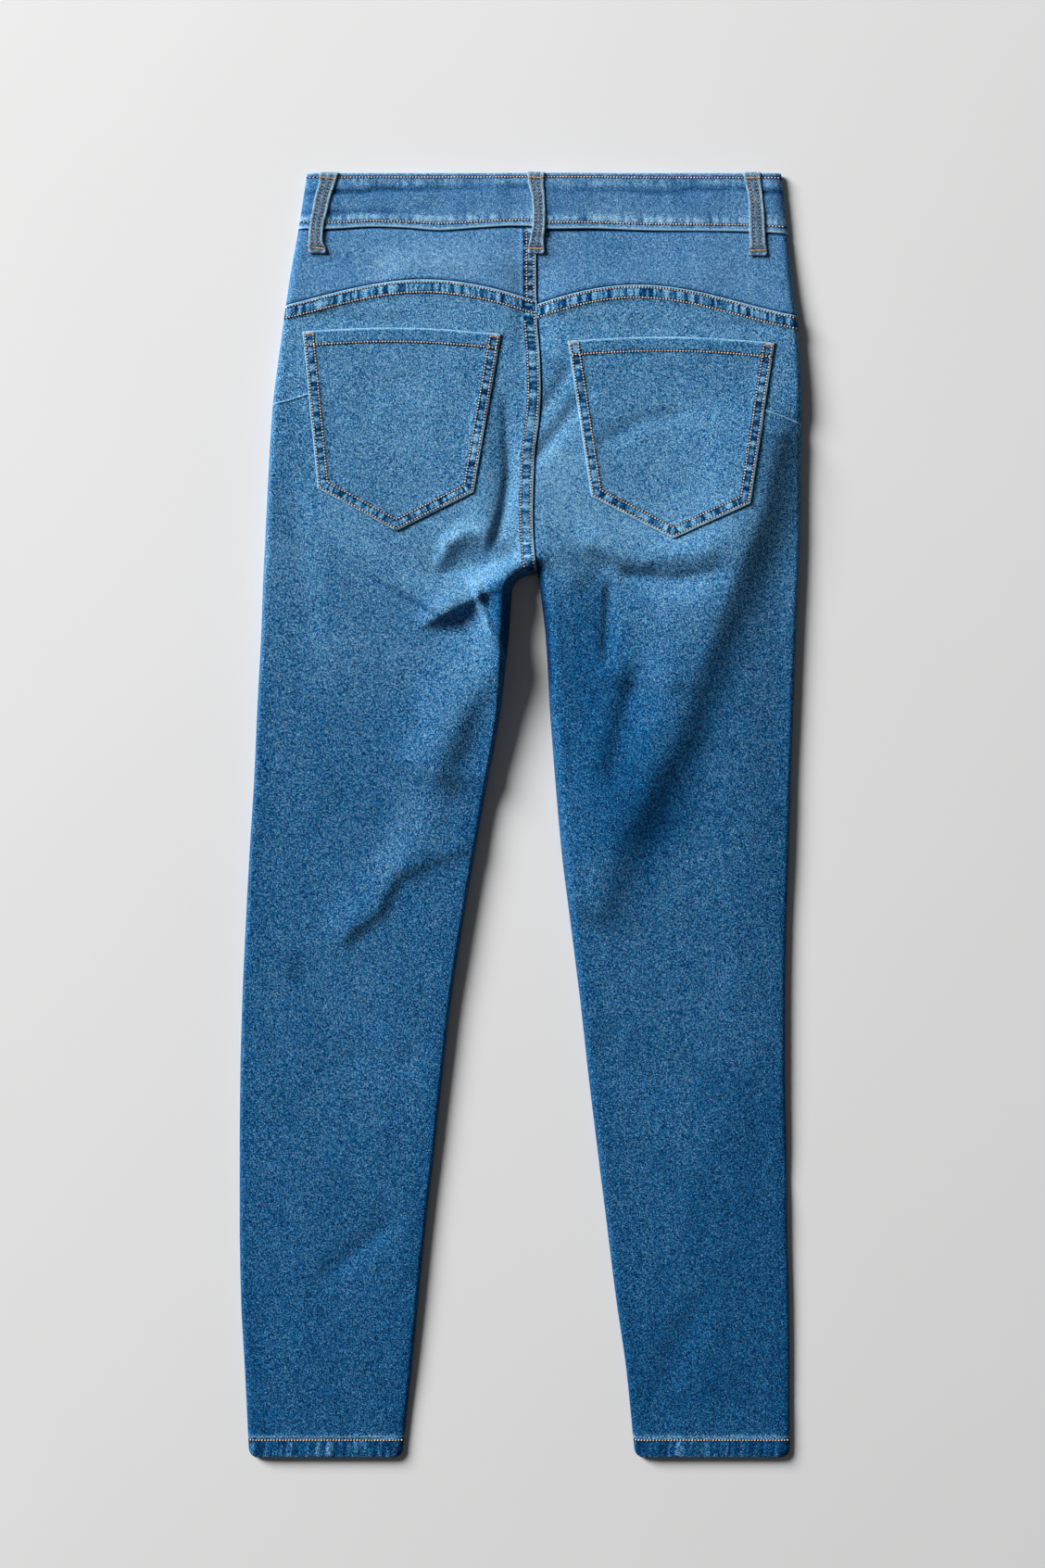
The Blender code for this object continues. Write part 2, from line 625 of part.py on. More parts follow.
def band_over(x):
    """Height of the waistband's back."""
    return BAND_TOP + LAP_SWELL * bump(np.abs(x - BUTTON_AT[0]), 0.4 * LAP, 2 * LAP_FADE)


def waistband_row(share):
    """One row of the waistband, from its top (0) to its seam (1). The row runs from the band's
    left end on the table side round the left side, over the back and round the right side to
    its right end, which lies inside the lap."""
    left_y, middle_y, right_y = (
        WAIST_TOP + (line + SEAM_GAP / 2 - WAIST_TOP) * share
        for line in (WAIST_LINE["left"][0], WAIST_LINE["left"][1], WAIST_LINE["right"][0])
    )
    left_x, right_x = float(OUTER["left"](left_y)), float(OUTER["right"](right_y))

    def y_at(x):
        return float(np.interp(x, [left_x, FRONT_CLOSURE_X, right_x], [left_y, middle_y, right_y]))

    def on_table_side(x, over, cloth):
        low = float(underside(np.array([[x, y_at(x)]]))[0]) + over
        return x, low, x, low + cloth

    lap_end = FRONT_CLOSURE_X + LAP
    thin_from = FRONT_CLOSURE_X - 2 * LAP_FADE
    sides = ROLL_ANGLES[1:-1]
    row = [on_table_side(x, 0.0, LAP_CLOTH) for x in np.linspace(lap_end, thin_from, 8)]
    left_start = left_x + UNDER_ROLL
    row += [on_table_side(x, 0.0, BAND_CLOTH) for x in np.linspace(thin_from - LAP_FADE / 2, left_start, 8)]
    row += folded_side(left_x, 1.0, BAND_TOP, BAND_CLOTH, UNDER_ROLL, sides)
    for x in np.linspace(left_x + TOP_ROLL, right_x - TOP_ROLL, 22):
        row.append((x, float(band_over(x)), x, float(band_over(x)) - BAND_CLOTH))
    row += folded_side(right_x, -1.0, BAND_TOP, BAND_CLOTH, UNDER_ROLL, sides)[::-1]
    for x in np.linspace(right_x - UNDER_ROLL, lap_end + 1.2 * LAP_FADE, 9):
        row.append(on_table_side(x, 0.0, BAND_CLOTH))
    for x in np.linspace(lap_end + 0.8 * LAP_FADE, FRONT_CLOSURE_X, 6):
        over = (LAP_CLOTH + SEAM_GAP) * float(bump(x, lap_end + SEAM_GAP, LAP_FADE))
        row.append(on_table_side(x, over, LAP_CLOTH))
    outer = [(x, y_at(x), z) for x, z, _, _ in row]
    inner = [(in_x, y_at(x), z) for x, _, in_x, z in row]
    return outer, inner


def waistband():
    """One band from the closure round the left side, over the back and round the right side to
    the closure again, where its left end laps over its right end on the table side."""
    rows = [waistband_row(share) for share in (0.0, 0.1, 0.5, 0.9, 1.0)]
    wall("waistband", np.array([outer for outer, _ in rows]), np.array([inner for _, inner in rows]))


def loop_rest(points):
    """Height of what a back belt loop lies on, at the highest within a few millimetres."""
    nearby = [points + [0, step] for step in (-0.004, 0.0, 0.004)]
    heights = [
        np.where(at[:, 1] > WAIST_LINE["right"][0], band_over(at[:, 0]), free_height(at)) for at in nearby
    ]
    return np.max(heights)


def belt_loop(name, top_x, bottom_x, bottom_y, under=False):
    """A strap from the top of the waistband to just below it, slack in its middle. A loop on the
    front is pressed flat between the table and the cloth."""
    outer, inner = [], []
    across = np.array(LOOP_COLUMNS) * LOOP_WIDTH / 2
    edge = np.where(np.abs(LOOP_COLUMNS) == 1.0, LOOP_EDGE, 0.0)
    for share in LOOP_ROWS:
        x = top_x + (bottom_x - top_x) * share
        y = WAIST_TOP + (bottom_y - WAIST_TOP) * share
        points = np.column_stack([x + across, np.full(len(across), y)])
        if under:
            low, high = edge, LOOP_CLOTH - edge
        else:
            slack = LOOP_SLACK * abs(math.sin(math.pi * share)) ** 0.7
            low = np.full(len(across), loop_rest(points) + LIFT + slack)
            high = low + LOOP_CLOTH - edge
        outer.append(np.column_stack([points, high]))
        inner.append(np.column_stack([points, low]))
    wall(name, np.array(outer), np.array(inner))


def waist_button():
    """A jeans button: a low turned cap that lies face down on the table."""
    profile = [(0.0, BUTTON_HEIGHT), (0.0052, BUTTON_HEIGHT), (0.0080, 0.0013), (BUTTON_RADIUS, 0.0008),
               (0.0080, 0.0003), (0.0070, 0.0), (0.0, 0.0)]
    bm = bmesh.new()
    verts = [bm.verts.new((r, 0, z)) for r, z in profile]
    for a, b in zip(verts[:-1], verts[1:]):
        bm.edges.new((a, b))
    button = add_object("waist_button", bm, ("brass", BRASS))
    button.location = (*BUTTON_AT, 0.0)
    turned = button.modifiers.new("turned", "SCREW")
    turned.steps = turned.render_steps = BUTTON_STEPS
    turned.use_merge_vertices = True
    turned.merge_threshold = 0.0001
    turned.use_smooth_shade = False


def new_collection(name):
    made = bpy.data.collections.new(name)
    bpy.context.scene.collection.children.link(made)
    return made


for old in list(bpy.data.objects):
    bpy.data.objects.remove(old)
JEANS = new_collection("skinny_jeans")
CUTTERS = new_collection("cutters")
CUTTERS.hide_render = True

for panel_side in ("left", "right"):
    back_yoke, back_leg = back_panels(panel_side)
    back_pocket(panel_side, back_leg)
    if panel_side == "left":
        seat_seam(back_yoke, back_leg)
    front_panel(panel_side)
    hem(panel_side)
waistband()
for loop in BACK_LOOPS:
    belt_loop(*loop)
for loop in FRONT_LOOPS:
    belt_loop(*loop, under=True)
waist_button()
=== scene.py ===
# %% [markdown]
# # Skinny jeans laid flat, back side up
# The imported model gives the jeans' true sizes: two leg fronts on the table, the leg backs, yokes
# and pockets on them, and a waistband with its belt loops round the top. Here each of those
# pieces is made again in finer cloth, with its folds, seams, stitches and wash. Everything is in
# metres: X runs across the jeans, Y from the hems to the waist, and the table is Z = 0.

# %% Load the fixed frame
import math

import bmesh
import bpy
import numpy as np
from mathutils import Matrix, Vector
from mathutils.bvhtree import BVHTree


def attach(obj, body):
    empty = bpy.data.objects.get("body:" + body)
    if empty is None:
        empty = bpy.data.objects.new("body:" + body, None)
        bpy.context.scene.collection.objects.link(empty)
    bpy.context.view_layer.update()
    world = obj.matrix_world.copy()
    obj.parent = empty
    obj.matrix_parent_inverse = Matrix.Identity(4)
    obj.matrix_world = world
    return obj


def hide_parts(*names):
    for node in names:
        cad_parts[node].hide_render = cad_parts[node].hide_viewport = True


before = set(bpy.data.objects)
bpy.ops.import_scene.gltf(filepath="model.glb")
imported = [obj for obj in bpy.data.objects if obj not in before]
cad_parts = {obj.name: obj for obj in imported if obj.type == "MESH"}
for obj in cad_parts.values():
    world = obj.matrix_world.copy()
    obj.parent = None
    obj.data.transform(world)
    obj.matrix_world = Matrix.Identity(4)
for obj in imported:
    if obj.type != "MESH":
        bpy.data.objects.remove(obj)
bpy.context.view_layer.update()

# %% [markdown]
# ## The outline as curves
# Laid flat, a leg is two layers of cloth that meet at folded sides, so its outline seen from
# above is the most important size of all. It could be drawn with Bezier curves. A short table of
# sections is easier to check and change, and a smooth curve through each column of it never
# overshoots, so a narrow leg stays as narrow as its numbers say.

# %% Tables of the outline
WAIST_TOP = 0.4850
HEM_TOP = -0.4700
HEM_BOTTOM = -0.4850
CROTCH_Y = 0.1830

# y, left outer x, right outer x, height of the upper layer between its folds
SIDES = [
    (0.4850, -0.1615, 0.1970, 0.0068),
    (0.4430, -0.1680, 0.2015, 0.0074),
    (0.4060, -0.1745, 0.2050, 0.0090),
    (0.3640, -0.1805, 0.2100, 0.0110),
    (0.3080, -0.1875, 0.2125, 0.0132),
    (0.2520, -0.1910, 0.2120, 0.0148),
    (0.2100, -0.1930, 0.2115, 0.0154),
    (0.1820, -0.1945, 0.2105, 0.0152),
    (0.1400, -0.1960, 0.2085, 0.0146),
    (0.0840, -0.1990, 0.2065, 0.0136),
    (0.0280, -0.2015, 0.2045, 0.0126),
    (-0.0280, -0.2050, 0.2030, 0.0118),
    (-0.0840, -0.2080, 0.2010, 0.0110),
    (-0.1400, -0.2105, 0.2000, 0.0102),
    (-0.1960, -0.2120, 0.2000, 0.0095),
    (-0.2520, -0.2125, 0.2010, 0.0088),
    (-0.3080, -0.2125, 0.2015, 0.0081),
    (-0.3640, -0.2115, 0.2030, 0.0075),
    (-0.4200, -0.2085, 0.2035, 0.0068),
    (-0.4700, -0.2060, 0.2035, 0.0060),
    (-0.4850, -0.2052, 0.2033, 0.0058),
]
# y, how far in from a folded side the cloth takes to reach its height, from the left inseam
# and from the right one
ROLLS = [
    (0.4850, 0.0070, 0.010, 0.010),
    (0.3800, 0.0050, 0.010, 0.010),
    (0.3000, 0.0044, 0.008, 0.010),
    (0.1830, 0.0038, 0.010, 0.010),
    (0.1740, 0.0038, 0.0080, 0.010),
    (0.1580, 0.0038, 0.0088, 0.011),
    (0.1400, 0.0037, 0.0084, 0.011),
    (0.1220, 0.0036, 0.0066, 0.011),
    (0.1000, 0.0035, 0.0042, 0.010),
    (0.0000, 0.0033, 0.0028, 0.007),
    (-0.2000, 0.0032, 0.0028, 0.005),
    (-0.4000, 0.0036, 0.0034, 0.005),
    (-0.4850, 0.0050, 0.0050, 0.006),
]
# y, left inseam x, right inseam x; the first row is the crotch point, where they meet
INSEAMS = [
    (0.1830, 0.0126, 0.0126),
    (0.1812, 0.0050, 0.0133),
    (0.1790, 0.0000, 0.0137),
    (0.1755, -0.0042, 0.0142),
    (0.1700, -0.0063, 0.0148),
    (0.1600, -0.0072, 0.0160),
    (0.1400, -0.0085, 0.0184),
    (0.1120, -0.0114, 0.0204),
    (0.0840, -0.0145, 0.0218),
    (0.0560, -0.0190, 0.0238),
    (0.0280, -0.0245, 0.0260),
    (-0.0280, -0.0345, 0.0310),
    (-0.0840, -0.0440, 0.0380),
    (-0.1400, -0.0525, 0.0450),
    (-0.1960, -0.0590, 0.0512),
    (-0.2520, -0.0650, 0.0580),
    (-0.3080, -0.0715, 0.0650),
    (-0.3640, -0.0770, 0.0720),
    (-0.4200, -0.0825, 0.0800),
    (-0.4700, -0.0880, 0.0850),
    (-0.4850, -0.0895, 0.0865),
]
# y, x of the seam down the middle of the seat
SEAT_SEAM = [
    (0.4850, 0.0115),
    (0.4430, 0.0120),
    (0.4060, 0.0120),
    (0.3720, 0.0128),
    (0.3450, 0.0148),
    (0.3200, 0.0154),
    (0.2980, 0.0141),
    (0.2710, 0.0108),
    (0.2240, 0.0095),
    (0.2040, 0.0102),
    (0.1830, 0.0126),
]


# %% Curves through the tables
def smooth_curve(knots, values):
    """A curve through the table's points that never overshoots them."""
    order = np.argsort(knots)
    x, y = np.asarray(knots, float)[order], np.asarray(values, float)[order]
    step = np.diff(x)
    rate = np.diff(y) / step
    slope = np.empty_like(y)
    slope[0], slope[-1] = rate[0], rate[-1]
    w1, w2 = 2 * step[1:] + step[:-1], step[1:] + 2 * step[:-1]
    same = rate[:-1] * rate[1:] > 0
    safe = np.where(same, rate[:-1] * rate[1:], 1.0)
    slope[1:-1] = np.where(same, (w1 + w2) * safe / (w1 * rate[1:] + w2 * rate[:-1] + (~same)), 0.0)

    def at(query):
        q = np.clip(np.asarray(query, float), x[0], x[-1])
        i = np.clip(np.searchsorted(x, q) - 1, 0, len(step) - 1)
        t = (q - x[i]) / step[i]
        near = (1 + 2 * t) * (1 - t) ** 2 * y[i] + t * (1 - t) ** 2 * step[i] * slope[i]
        far = t * t * (3 - 2 * t) * y[i + 1] + t * t * (t - 1) * step[i] * slope[i + 1]
        return near + far

    return at


def column(table, index):
    return smooth_curve([row[0] for row in table], [row[index] for row in table])


OUTER = {"left": column(SIDES, 1), "right": column(SIDES, 2)}
BASE_HEIGHT = column(SIDES, 3)
SIDE_ROLL = column(ROLLS, 1)
INSEAM_ROLL = {"left": column(ROLLS, 2), "right": column(ROLLS, 3)}
INSEAM = {"left": column(INSEAMS, 1), "right": column(INSEAMS, 2)}
SEAT_X = column(SEAT_SEAM, 1)
TOWARDS_MIDDLE = {"left": 1.0, "right": -1.0}


def middle_x(side, y):
    """The inner edge of a leg panel: the seat seam down to the crotch point, then the inseam."""
    y = np.asarray(y, float)
    return np.where(y >= CROTCH_Y - 1e-9, SEAT_X(y), INSEAM[side](y))


print("hem widths:", [round(abs(float(OUTER[s](HEM_BOTTOM) - INSEAM[s](HEM_BOTTOM))), 4) for s in OUTER])

# %% [markdown]
# ## How high the cloth lies
# The back panels rest on the front panels and turn down to them at the folded sides, as a
# quarter of an ellipse. Folds are soft ridges and troughs along short paths, steeper on one
# side, like the creases that are left when a leg is smoothed out by hand. A cloth simulation
# could drape the legs, but it would put its creases where it likes. These are placed where
# this pair has them.

# %% Table of the folds
EDGE_HEIGHT = 0.0030      # the folded sides: front and back panels meet this far above the table
TOP_ROLL = 0.0090         # how far in from its folded ends a waistband or hem takes to reach its height
UNDER_ROLL = 0.0050       # the same for the cloth that lies on the table
LEAST_HEIGHT = 0.0047     # the two layers can't be pressed flatter than this
MOST_HEIGHT = 0.0290      # nor do the large folds stand higher than this, which they reach softly
SOFT_CEILING = 0.0050
RIPPLE_ROOM = 0.0012      # the other folds may stand this much higher still
LARGE_FOLDS = 5           # so many of the folds are large, and the others lie on them
AT_ONCE = 2000            # points measured at once, to save memory
FOLD_END = 0.012          # how far a fold takes to die out past the ends of its path
# name, path in x and y, rise (negative is a trough), reach to the left of the path, reach to
# its right, both seen walking along the path; a pair is a value for each end of the path
FOLDS = [
    ("right thigh, long", [(0.190, 0.287), (0.178, 0.230), (0.164, 0.197), (0.139, 0.133), (0.115, 0.065),
      (0.097, 0.032), (0.070, -0.022), (0.056, -0.067)], (0.0104, 0.0064), (0.018, 0.020), 0.048),
    ("left inner thigh, bulk", [(-0.013, 0.169), (-0.012, 0.133), (-0.010, 0.101), (-0.021, 0.035)],
     (0.0128, 0.0026), 0.018, 0.014),
    ("left thigh, inner", [(-0.015, 0.125), (-0.027, 0.105), (-0.043, 0.081), (-0.065, 0.037)],
     (0.0070, 0.0080), (0.012, 0.018), 0.026),
    ("left crotch, lip", [(0.008, 0.190), (-0.003, 0.183), (-0.015, 0.175), (-0.030, 0.167),
      (-0.045, 0.158), (-0.062, 0.150)], (0.0030, 0.0066), 0.0045, 0.012),
    ("left crotch, corner", [(-0.059, 0.153), (-0.097, 0.177), (-0.127, 0.202), (-0.153, 0.230)],
     (0.0062, 0.0012), 0.0042, 0.02),
    ("left inner thigh, pinch", [(-0.032, 0.164), (-0.029, 0.154), (-0.025, 0.140), (-0.017, 0.130),
      (-0.011, 0.118)], 0.0058, 0.0046, 0.0026),
    ("left crotch, under the lip", [(-0.028, 0.153), (-0.052, 0.141)], -0.0016, 0.008, 0.006),
    ("left crotch, dimple", [(-0.056, 0.185), (-0.040, 0.187), (-0.024, 0.190), (-0.012, 0.196)],
     (-0.0052, -0.0038), 0.014, 0.007),
    ("left crotch, arch", [(-0.059, 0.194), (-0.055, 0.204), (-0.042, 0.213), (-0.029, 0.212),
      (-0.020, 0.205)], 0.0036, 0.0056, 0.0074),
    ("seat, beside the seam", [(-0.011, 0.308), (-0.011, 0.287), (-0.009, 0.260), (-0.013, 0.231),
      (-0.019, 0.211)], (-0.0012, -0.0044), 0.0058, 0.0034),
    ("seat, left ridge", [(-0.025, 0.300), (-0.027, 0.224)], 0.0016, 0.009, 0.012),
    ("seat, right drag 1", [(0.034, 0.331), (0.018, 0.305)], -0.0018, 0.006, 0.006),
    ("seat, right drag 2", [(0.045, 0.312), (0.016, 0.274)], -0.0024, 0.006, 0.006),
    ("seat, middle hollow", [(0.010, 0.404), (0.011, 0.362)], -0.0036, 0.014, 0.014),
    ("right crotch, arch", [(0.014, 0.194), (0.027, 0.189), (0.037, 0.179)], 0.0032, 0.014, 0.006),
    ("right seat, ridge", [(0.055, 0.204), (0.093, 0.193), (0.137, 0.198)], 0.0034, 0.012, 0.008),
    ("right seat, trough", [(0.035, 0.206), (0.048, 0.196), (0.062, 0.188)],
     (-0.0012, -0.0054), 0.0065, 0.011),
    ("right seat, trough, outer", [(0.084, 0.180), (0.114, 0.176), (0.142, 0.181)],
     (-0.0066, -0.0036), 0.0065, 0.012),
    ("right thigh, upper", [(0.067, 0.167), (0.064, 0.122)], -0.0026, 0.007, 0.0046),
    ("right thigh, lower", [(0.087, 0.103), (0.080, 0.077), (0.071, 0.034)],
     (-0.0050, -0.0034), 0.016, 0.0095),
    ("right thigh, shelf", [(0.065, 0.106), (0.088, 0.103), (0.112, 0.101)], 0.0022, 0.012, 0.0060),
    ("left knee, upper", [(-0.062, 0.010), (-0.071, -0.014), (-0.087, -0.035)], 0.0014, 0.009, 0.016),
    ("left knee", [(-0.049, -0.026), (-0.071, -0.033), (-0.096, -0.045), (-0.109, -0.071),
      (-0.130, -0.087)], (0.0026, 0.0044), 0.0062, 0.018),
    ("left shin, upper", [(-0.162, -0.118), (-0.112, -0.160)], -0.0022, 0.012, 0.012),
    ("left shin, middle", [(-0.126, -0.184), (-0.090, -0.187)], -0.0022, 0.01, 0.01),
    ("left calf", [(-0.143, -0.344), (-0.105, -0.313)], -0.0018, 0.007, 0.008),
    ("right ankle", [(0.134, -0.372), (0.112, -0.421)], -0.0016, 0.012, 0.012),
    ("left thigh, foot of the wedge", [(-0.064, 0.029), (-0.040, 0.031), (-0.020, 0.034)],
     0.0014, 0.0045, 0.012),
    # finer ones, which only this cloth shows
    ("right side, low", [(0.208, 0.290), (0.204, 0.028), (0.200, -0.140), (0.2035, -0.440)],
     (-0.0062, -0.0010), 0.030, 0.030),
    ("left hip, soft", [(-0.173, 0.245), (-0.159, 0.147)], -0.0012, 0.010, 0.012),
    ("left seat, low", [(-0.124, 0.175), (-0.110, 0.154)], -0.0012, 0.007, 0.008),
    ("left thigh, dent", [(-0.085, 0.098), (-0.075, 0.070)], -0.0013, 0.008, 0.009),
    ("left yoke, outer dip", [(-0.155, 0.420), (-0.110, 0.410)], -0.0010, 0.010, 0.010),
    ("left yoke, swell", [(-0.078, 0.420), (-0.020, 0.417)], 0.0010, 0.012, 0.014),
    ("right yoke, inner dip", [(0.034, 0.424), (0.065, 0.413)], -0.0010, 0.010, 0.010),
    ("right yoke, swell", [(0.118, 0.412), (0.146, 0.409)], 0.0010, 0.012, 0.012),
    ("left, over the pocket", [(-0.145, 0.3755), (-0.092, 0.3725)], -0.0014, 0.0035, 0.0050),
    ("right, over the pocket", [(0.037, 0.3735), (0.097, 0.3665)], -0.0012, 0.0045, 0.0060),
    ("right, pocket corner", [(0.139, 0.3700), (0.174, 0.3690)], -0.0010, 0.0040, 0.0060),
    ("right pocket, crescent", [(0.069, 0.2835), (0.090, 0.2975), (0.118, 0.3010)], -0.0020, 0.006, 0.008),
    ("right pocket, dip", [(0.125, 0.333), (0.170, 0.328)], -0.0009, 0.008, 0.010),
    ("left pocket, dip", [(-0.115, 0.318), (-0.072, 0.330)], -0.0009, 0.010, 0.012),
    ("left calf, outer", [(-0.173, -0.223), (-0.147, -0.238)], -0.0010, 0.012, 0.012),
    ("left ankle", [(-0.139, -0.425), (-0.102, -0.440)], -0.0008, 0.010, 0.010),
    ("right shin", [(0.063, -0.174), (0.104, -0.204)], -0.0013, 0.013, 0.014),
    ("right calf, outer", [(0.168, -0.249), (0.198, -0.275)], -0.0011, 0.012, 0.012),
    ("right knee, soft", [(0.100, -0.085), (0.150, -0.110)], -0.0009, 0.014, 0.014),
]
# How fine the long, low unevenness of the cloth is, and how high: step across, step along, height
RIPPLES = [(0.045, 0.090, 0.00060), (0.018, 0.034, 0.00020), (0.0060, 0.0100, 0.00004)]
print("folds placed:", len(FOLDS))

# %% [markdown]
# ## One fold
# Seen across, a soft fold is a bell: highest on its path and nearly gone at twice its reach. A
# sculpting brush leaves much the same shape. Worked out from the path, it can be moved by
# changing a row of the table, and the same bell later serves grooves, marks and worn edges.


# %% The shape of one fold
def smooth_step(share):
    t = np.clip(share, 0, 1)
    return t * t * (3 - 2 * t)


def bell(offset, reach):
    """1 where the offset is nothing, fading away over the reach."""
    return np.exp(-((offset / reach) ** 2))


def from_to(value, share):
    """A value that may be a pair, for the start and the end of a path."""
    start, stop = value if isinstance(value, tuple) else (value, value)
    return start + (stop - start) * share


def fold_height(points, path, rise, left_reach, right_reach, end=FOLD_END):
    """One fold: a soft ridge or trough along its path, steeper on the side with the short reach."""
    path = np.asarray(path, float)
    lengths = np.linalg.norm(np.diff(path, axis=0), axis=1)
    before = np.concatenate([[0.0], np.cumsum(lengths)]) / lengths.sum()
    margin = 3 * max(end, *np.ravel(left_reach), *np.ravel(right_reach))
    near = ((points > path.min(0) - margin) & (points < path.max(0) + margin)).all(1)
    everywhere, points = np.zeros(len(points)), points[near]
    best = np.full(len(points), np.inf)
    height = np.zeros(len(points))
    for start, stop, length, share in zip(path[:-1], path[1:], lengths, before):
        run = stop - start
        offset = points - start
        along = offset @ run / length
        across = (run[0] * offset[:, 1] - run[1] * offset[:, 0]) / length
        past = np.maximum(np.maximum(-along, along - length), 0.0)
        away = np.hypot(across, past)
        share = share + np.clip(along, 0, length) / lengths.sum()
        reach = np.where(across > 0, from_to(left_reach, share), from_to(right_reach, share))
        here = from_to(rise, share) * np.exp(-((across / reach) ** 2) - (past / end) ** 2)
        height = np.where(away < best, here, height)
        best = np.minimum(away, best)
    everywhere[near] = height
    return everywhere


def uneven(points, step, seed):
    """Random values from -1 to 1 that change smoothly over steps of this size."""
    lattice = np.random.default_rng(seed).uniform(-1, 1, (128, 128))
    place = points / np.asarray(step) + 1000.0
    cell = np.floor(place).astype(int)
    t = smooth_step(place - cell)
    near, far = (
        lattice[cell[:, 0] % 128, (cell[:, 1] + k) % 128] * (1 - t[:, 0])
        + lattice[(cell[:, 0] + 1) % 128, (cell[:, 1] + k) % 128] * t[:, 0]
        for k in (0, 1)
    )
    return near * (1 - t[:, 1]) + far * t[:, 1]


def uneven_over(across, along, step, seed):
    """The same over two grids of numbers, in their shape."""
    points = np.column_stack([np.ravel(across), np.ravel(along)])
    return uneven(points, step, seed).reshape(np.shape(across))


FIRST_FOLD = fold_height(np.array(FOLDS[0][1]), *FOLDS[0][1:])
print("rise of the first fold at its two ends:", round(FIRST_FOLD[0], 4), round(FIRST_FOLD[-1], 4))

# %% [markdown]
# ## From the table up to the cloth
# At a folded edge the front and back meet, and within about a centimetre of it the back rises
# to its full height. So the distance to the nearest edge comes first. It is worked out for two
# thousand points at once, which takes seconds where a loop over the points would take minutes.


# %% Height of the upper layer
def walks():
    """The folded edges as paths of points, each walked with the cloth on its left."""
    down = np.linspace(WAIST_TOP, HEM_BOTTOM, 140)
    round_crotch = [row[0] for row in INSEAMS[:6]]
    below = np.concatenate([round_crotch, np.linspace(0.150, HEM_BOTTOM, 90)])
    sides = [np.stack([OUTER[side](down), down], 1) for side in OUTER]
    inseams = [np.stack([INSEAM[side](below), below], 1) for side in INSEAM]
    return sides[0], np.concatenate([inseams[0][::-1], inseams[1][1:]]), sides[1][::-1]


def edge_distances(points):
    """For each point, how far it is from the nearest folded side and the nearest inseam."""
    left_side, inseams, right_side = walks()
    found = []
    for paths in ([left_side, right_side], [inseams]):
        best = np.full(len(points), np.inf)
        for path in paths:
            start, run = path[:-1], np.diff(path, axis=0)
            square = (run**2).sum(1)
            for first in range(0, len(points), AT_ONCE):
                some = slice(first, first + AT_ONCE)
                offset = points[some, None, :] - start[None]
                t = np.clip((offset * run).sum(2) / square, 0, 1)
                distance = np.linalg.norm(offset - t[..., None] * run, axis=2).min(1)
                best[some] = np.minimum(best[some], distance)
        found.append(best)
    return found


def roll(distance, reach, lean=0.5):
    """From 0 at a folded edge to 1 at the reach, as a quarter of an ellipse, or leaning back more."""
    return (1 - (1 - np.clip(distance / reach, 0, 1)) ** 2) ** lean


PROP_HEIGHT = 0.0021      # the front loops and the button hold the waist this far off the table,
PROP_X, PROP_HALF_WIDTH, PROP_FADE_X = 0.0135, 0.1140, 0.0420       # over this stretch of x
PROP_Y, PROP_FADE_Y = 0.4190, 0.0500                                # and from here up


def underside(points):
    """How far the lower layer is held off the table."""
    across = 1 - smooth_step((np.abs(points[:, 0] - PROP_X) - PROP_HALF_WIDTH) / PROP_FADE_X)
    return PROP_HEIGHT * across * (1 - smooth_step((PROP_Y - points[:, 1]) / PROP_FADE_Y))


def free_height(points):
    """How high the upper layer stands above the table, away from its folded edges."""
    height = BASE_HEIGHT(points[:, 1])
    high = MOST_HEIGHT - SOFT_CEILING
    for count, (_, path, rise, left_reach, right_reach) in enumerate(FOLDS):
        if count == LARGE_FOLDS:
            softly = high + SOFT_CEILING * np.tanh((height - high) / SOFT_CEILING)
            height = np.where(height > high, softly, height)
        height = height + fold_height(points, path, rise, left_reach, right_reach)
    for seed, (across, along, rise) in enumerate(RIPPLES):
        height = height + rise * uneven(points, (across, along), 11 + seed)
    return np.clip(height, LEAST_HEIGHT + underside(points), MOST_HEIGHT + RIPPLE_ROOM)


INNER_THIGH = (0.160, 0.026)      # y and reach of the stretch where the left inseam leans back,
LEAN = 0.06                       # by this much more than a quarter of an ellipse


def upper_height(points, distances=None):
    """Height of the outer side of the upper layer, down to the folded edges."""
    to_side, to_inseam = edge_distances(points) if distances is None else distances
    y = points[:, 1]
    left = points[:, 0] < SEAT_X(y)
    inseam_roll = np.where(left, INSEAM_ROLL["left"](y), INSEAM_ROLL["right"](y))
    lean = 0.5 + np.where(left, LEAN, 0.0) * bell(y - INNER_THIGH[0], INNER_THIGH[1])
    share = roll(to_side, SIDE_ROLL(y)) * roll(to_inseam, inseam_roll, lean)
    return EDGE_HEIGHT + share * (free_height(points) - EDGE_HEIGHT)


print("highest on the first fold:", round(float(upper_height(np.array(FOLDS[0][1])).max()), 4))

# %% [markdown]
# ## The wash, with painted shade and highlights
# Washed denim is palest where it was rubbed: on the seat, along the edges of its seams and on
# the tops of its folds. It could be painted on an image. Here each point of the cloth carries a
# number for how pale it is, worked out from where it lies, and the finish turns that number
# into a colour. The same number also carries painted shade beside seams, in grooves and
# creases, and painted highlights and shadows on a few folds of the crotch. A second number
# says where a seam's double cloth lies, and a third how far along the seam a point is, which
# places the light and dark marks between its stitch rows.

# %% Paleness of the cloth
# y, paleness of the cloth across the whole of the jeans there
WASH = [
    (0.4850, 0.54), (0.4430, 0.60), (0.4000, 0.62), (0.3600, 0.60), (0.2800, 0.58), (0.2200, 0.60),
    (0.1800, 0.53), (0.1400, 0.45), (0.0900, 0.395), (0.0000, 0.37), (-0.1000, 0.36), (-0.2000, 0.345),
    (-0.3000, 0.325), (-0.4000, 0.30), (-0.4600, 0.28), (-0.4850, 0.27),
]
